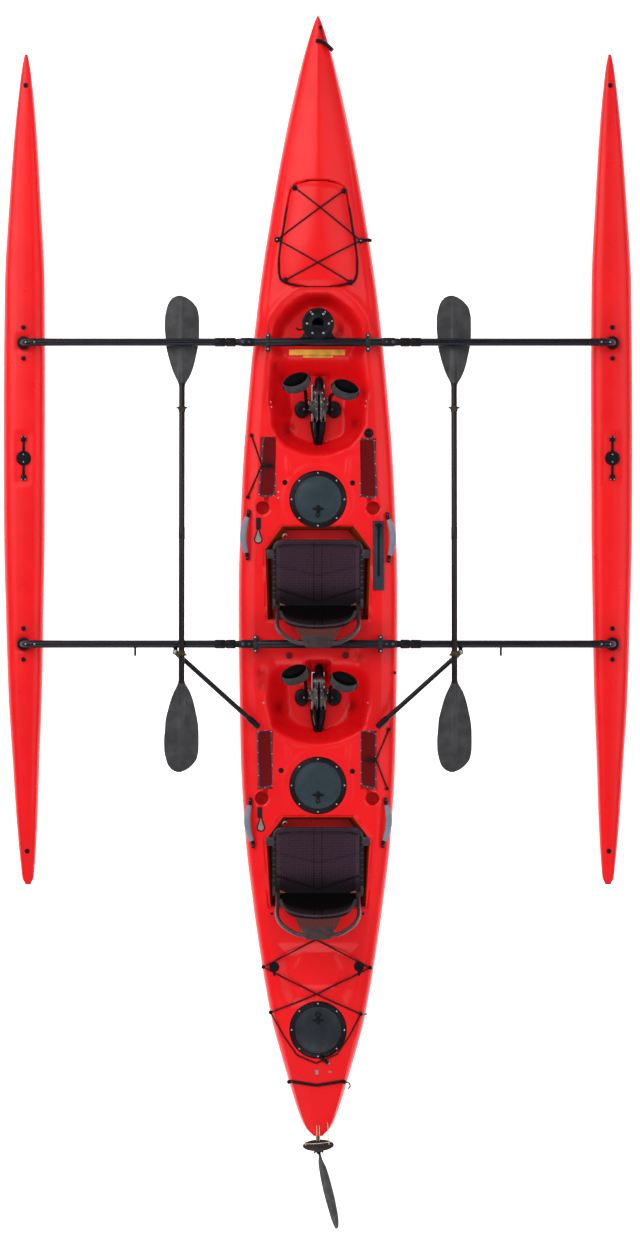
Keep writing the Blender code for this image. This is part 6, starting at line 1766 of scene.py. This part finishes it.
def build_rudder():
    """Pintles on the stern, the steered head with its yoke and fork, the blade, and the steering lines."""
    pin = (0, RUDDER_PIN_Y)
    steer = turned_about((*pin, 0), 2.5, "Z")
    lean = math.radians(12)
    axis = Vector((math.cos(lean), 0, -math.sin(lean)))
    pivot = Vector(KICK_PIVOT)
    chord = smooth_curve(BLADE_CHORD)
    lead_at = smooth_curve([(0.0, 0.010), (0.17, 0.036), (BLADE_LENGTH, 0.0)])
    pintles, bm, bolts, foil, lines, yoke_line = new_shapes(6)
    rear = -2.8253
    add_box(pintles, (-0.016, rear - 0.006, 0.060), (0.016, rear, 0.195), 0.002)
    for z in (0.072, 0.182):
        add_box(pintles, (-0.0085, RUDDER_PIN_Y, z), (0.0085, rear - 0.003, z + 0.010), 0.0015)
        add_post(pintles, pin, z, z + 0.010, 0.0095, 24, 0.001)
    add_post(pintles, pin, 0.060, 0.205, 0.005, rounding=0.001)
    add_turned(bm, [(0.0125, 0.0830), (0.0125, 0.1810), (0.0058, 0.1810), (0.0058, 0.0830)], (*pin, 0), 32)
    add_plate(bm, ellipse((0, -2.8765), 0.079, 0.0295, 48), 0.217, 0.231, 0.006, 3)
    add_box(bm, (-0.008, -2.890, 0.090), (0.008, -2.8555, 0.176), 0.002)
    add_box(bm, (-0.011, -2.890, 0.100), (0.011, -2.866, 0.222), 0.003)
    add_rod(bm, pivot - axis * 0.025, pivot + axis * 0.025, 0.0045, rounding=0.001)
    for side in SIDES.values():
        end = pivot + axis * side * 0.021
        add_rod(bm, end, (side * 0.010, -2.880, end.z + 0.004), 0.0055, rounding=0.001)
        add_rod(bm, end - axis * 0.003, end + axis * 0.003, 0.0095, 24, 0.001)
    bmesh.ops.transform(bm, matrix=steer, verts=bm.verts)
    add_screws(bolts, [steer @ Vector((x, -2.872, 0.231)) for x in (-0.060, -0.024, 0.024, 0.060)], 0.0042)

    def blade(u, v):
        depth = BLADE_LENGTH - (BLADE_LENGTH - 0.008) * v
        wave = math.sin(2 * math.pi * u)
        ahead = 0.5 - 0.5 * math.cos(2 * math.pi * u)
        thick = 0.0065 * (1 - 0.55 * depth / BLADE_LENGTH)
        rib = 0.35 * math.exp(-((ahead - 0.62) / 0.05) ** 2) * math.copysign(abs(wave) ** 0.3, wave)
        wide = float(chord(depth))
        flat = Vector((thick * (wave * (1 - 0.45 * ahead) + rib), (0.5 - ahead) * wide))
        flat.rotate(Matrix.Rotation(math.radians(BLADE_TWIST) * float(ease((depth - 0.01) / 0.06)), 2))
        return flat.x, float(lead_at(depth)) - 0.5 * wide + flat.y, -depth

    add_grid(foil, 32, 44, blade)
    bmesh.ops.remove_doubles(foil, verts=foil.verts, dist=1e-5)
    close_ends(foil)
    bmesh.ops.transform(foil, matrix=Matrix.Rotation(math.radians(-78), 4, axis), verts=foil.verts)
    hub = [(0.013, -0.009), (0.013, 0.009), (0.0053, 0.009), (0.0053, -0.009)]
    add_turned(foil, hub, frame_along((0, 0, 0), axis), 32)
    bmesh.ops.transform(foil, matrix=steer @ Matrix.Translation(pivot), verts=foil.verts)
    for start, end in RUDDER_LINES:
        a, b = on_deck(*start, 0.004), Vector((*end, 0.236))
        add_sweep(lines, [a, a.lerp(b, 0.5), b], 0.0020, 8)
    a, b = Vector((-0.0716, -2.868, 0.2335)), Vector((0.0757, -2.856, 0.2335))
    add_sweep(yoke_line, [a, a.lerp(b, 0.5) + Vector((0, -0.004, 0.001)), b], 0.0020, 8)
    piece_from(pintles, "rudder_pintles", "black", "hull", "rudder_bracket")
    piece_from(bm, "rudder_yoke", "yoke", "rudder_head", "rudder_head")
    piece_from(bolts, "rudder_yoke_bolts", "bolt", "rudder_head")
    piece_from(foil, "rudder_foil", "rudder", "rudder_blade", "rudder_blade", 50)
    led = loose_object("rudder_lines", lines)
    led.data.materials.append(FINISHES["line"])
    led.data.shade_smooth()
    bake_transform(led)
    piece_from(yoke_line, "rudder_yoke_line", "line", "rudder_head")


# Stage

FLOOR_COLOUR = (0.93, 0.93, 0.93)
SKY_STRENGTH = 0.35
CAMERA_LENS = 143.7
CAMERA_PLACE = (0.0101, -0.2245, 25.25)
# Lamps that point at the middle: name, place, size, power
LAMPS = [
    ("key", (-5.0, 4.0, 7.0), 8.0, 620.0),
    ("fill", (6.0, 1.0, 7.5), 7.0, 260.0),
    ("stern", (-1.0, -7.0, 6.0), 6.0, 260.0),
]


def build_stage():
    """The pale floor at the waterline, the camera above, the sky and the lamps."""
    scene = bpy.context.scene
    bm = bmesh.new()
    bmesh.ops.create_grid(bm, x_segments=1, y_segments=1, size=40)
    floor = placed("floor", mesh_of("floor", bm))
    pale = finish("pale_floor", FLOOR_COLOUR, 0.9, Emission_Color=(*FLOOR_COLOUR, 1), Emission_Strength=1.0)
    floor.data.materials.append(pale)

    scene.camera = placed("camera", bpy.data.cameras.new("camera"))
    scene.camera.data.lens = CAMERA_LENS
    scene.camera.data.clip_end = 200
    scene.camera.location = CAMERA_PLACE

    scene.world = bpy.data.worlds.new("studio")
    scene.world.use_nodes = True
    sky = scene.world.node_tree.nodes["Background"]
    sky.inputs["Color"].default_value = (1, 1, 1, 1)
    sky.inputs["Strength"].default_value = SKY_STRENGTH
    for name, place, size, power in LAMPS:
        lamp = placed(name, bpy.data.lights.new(name, "AREA"))
        lamp.data.size = size
        lamp.data.energy = power
        lamp.location = place
        lamp.rotation_euler = (-Vector(place)).to_track_quat("-Z", "Y").to_euler()
    scene.view_settings.view_transform = "Standard"


class TrimaranSizes(bpy.types.PropertyGroup):
    """Sizes that a user may change."""
    bungee: bpy.props.FloatProperty(
        name="Shock cord", description="Radius of the deck's shock cord", default=0.0037, unit="LENGTH")
    screw: bpy.props.FloatProperty(
        name="Screw head", description="Radius of a hatch screw's head", default=0.0046, unit="LENGTH")


class TrimaranColours(bpy.types.PropertyGroup):
    """Colours that a user may change."""
    hull: bpy.props.FloatVectorProperty(
        name="Hull", description="Colour of the moulded hulls", default=(0.82, 0.005, 0.008), subtype="COLOR")
    lids: bpy.props.FloatVectorProperty(
        name="Lids", description="Colour of the hatch lids", default=(0.018, 0.032, 0.044), subtype="COLOR")
    handles: bpy.props.FloatVectorProperty(
        name="Handles", description="Colour of the grips", default=(0.17, 0.22, 0.27), subtype="COLOR")
    seats: bpy.props.FloatVectorProperty(
        name="Seats", description="Colour of the seats' mesh", default=(0.058, 0.028, 0.046), subtype="COLOR")


class AddStage(bpy.types.Operator):
    """Adds the floor, the camera, the lights and the finishes."""
    bl_idname = "trimaran.stage"
    bl_label = "Stage and Finishes"

    def execute(self, context):
        build_stage()
        make_finishes()
        dress_nodes()
        return {"FINISHED"}


class AddHulls(bpy.types.Operator):
    """Adds the moulded surfaces of the main hull and the outriggers."""
    bl_idname = "trimaran.hulls"
    bl_label = "Hulls"

    def execute(self, context):
        build_hull()
        for name, side in SIDES.items():
            build_ama(name, side)
        return {"FINISHED"}


class AddSeats(bpy.types.Operator):
    """Adds the seats' cloth, frames and backs."""
    bl_idname = "trimaran.seats"
    bl_label = "Seats"

    def execute(self, context):
        for end in ENDS:
            build_seat(end)
            build_seat_frame(end)
            build_seat_back(end)
        return {"FINISHED"}


class AddRig(bpy.types.Operator):
    """Adds the crossbars, the folding arms, the braces and the paddles."""
    bl_idname = "trimaran.rig"
    bl_label = "Crossbars and Arms"

    def execute(self, context):
        for end in ENDS:
            build_crossbar(end)
        for name, side in SIDES.items():
            for end in ENDS:
                build_arm(end, name, side)
            build_brace(name, side)
            build_paddle(name, side)
            build_ama_fittings(name, side)
        return {"FINISHED"}


class AddDeckFittings(bpy.types.Operator):
    """Adds the mast step, the hatches, the pockets, the handles and the small fittings."""
    bl_idname = "trimaran.fittings"
    bl_label = "Deck Fittings"

    def execute(self, context):
        build_mast_step()
        for end, y in ROUND_HATCHES.items():
            build_round_hatch(end, y)
        build_bow_hatch()
        for name in POCKETS:
            build_pocket(name)
        build_pocket_cords()
        for name in HANDLES:
            build_carry_handle(name)
        build_steering_plate()
        build_small_fittings()
        build_stern_cords()
        return {"FINISHED"}


class AddDrives(bpy.types.Operator):
    """Adds the two pedal drives with their pedals and fins."""
    bl_idname = "trimaran.drives"
    bl_label = "Pedal Drives"

    def execute(self, context):
        for end in ENDS:
            build_drive(end)
            build_fins(end)
            for name, side in SIDES.items():
                build_pedal(end, name, side)
        return {"FINISHED"}


class AddRudder(bpy.types.Operator):
    """Adds the rudder with its head, its blade and its steering lines."""
    bl_idname = "trimaran.rudder"
    bl_label = "Rudder"

    def execute(self, context):
        build_rudder()
        return {"FINISHED"}


OPERATORS = (AddStage, AddHulls, AddSeats, AddRig, AddDeckFittings, AddDrives, AddRudder)


class TrimaranPanel(bpy.types.Panel):
    """Lists the sizes, the colours and the pieces."""
    bl_idname = "VIEW3D_PT_trimaran"
    bl_label = "Trimaran"
    bl_space_type = "VIEW_3D"
    bl_region_type = "UI"
    bl_category = "Trimaran"

    def draw(self, context):
        for group in (context.scene.trimaran_sizes, context.scene.trimaran_colours):
            for name in group.__annotations__:
                self.layout.prop(group, name)
        for operator in OPERATORS:
            self.layout.operator(operator.bl_idname)


CLASSES = (TrimaranSizes, TrimaranColours) + OPERATORS + (TrimaranPanel,)


def register():
    for item in CLASSES:
        bpy.utils.register_class(item)
    bpy.types.Scene.trimaran_sizes = bpy.props.PointerProperty(type=TrimaranSizes)
    bpy.types.Scene.trimaran_colours = bpy.props.PointerProperty(type=TrimaranColours)


def unregister():
    del bpy.types.Scene.trimaran_sizes
    del bpy.types.Scene.trimaran_colours
    for item in reversed(CLASSES):
        bpy.utils.unregister_class(item)


def main():
    register()
    for operator in OPERATORS:
        group, name = operator.bl_idname.split(".")
        getattr(getattr(bpy.ops, group), name)()


if __name__ == "__main__":
    main()
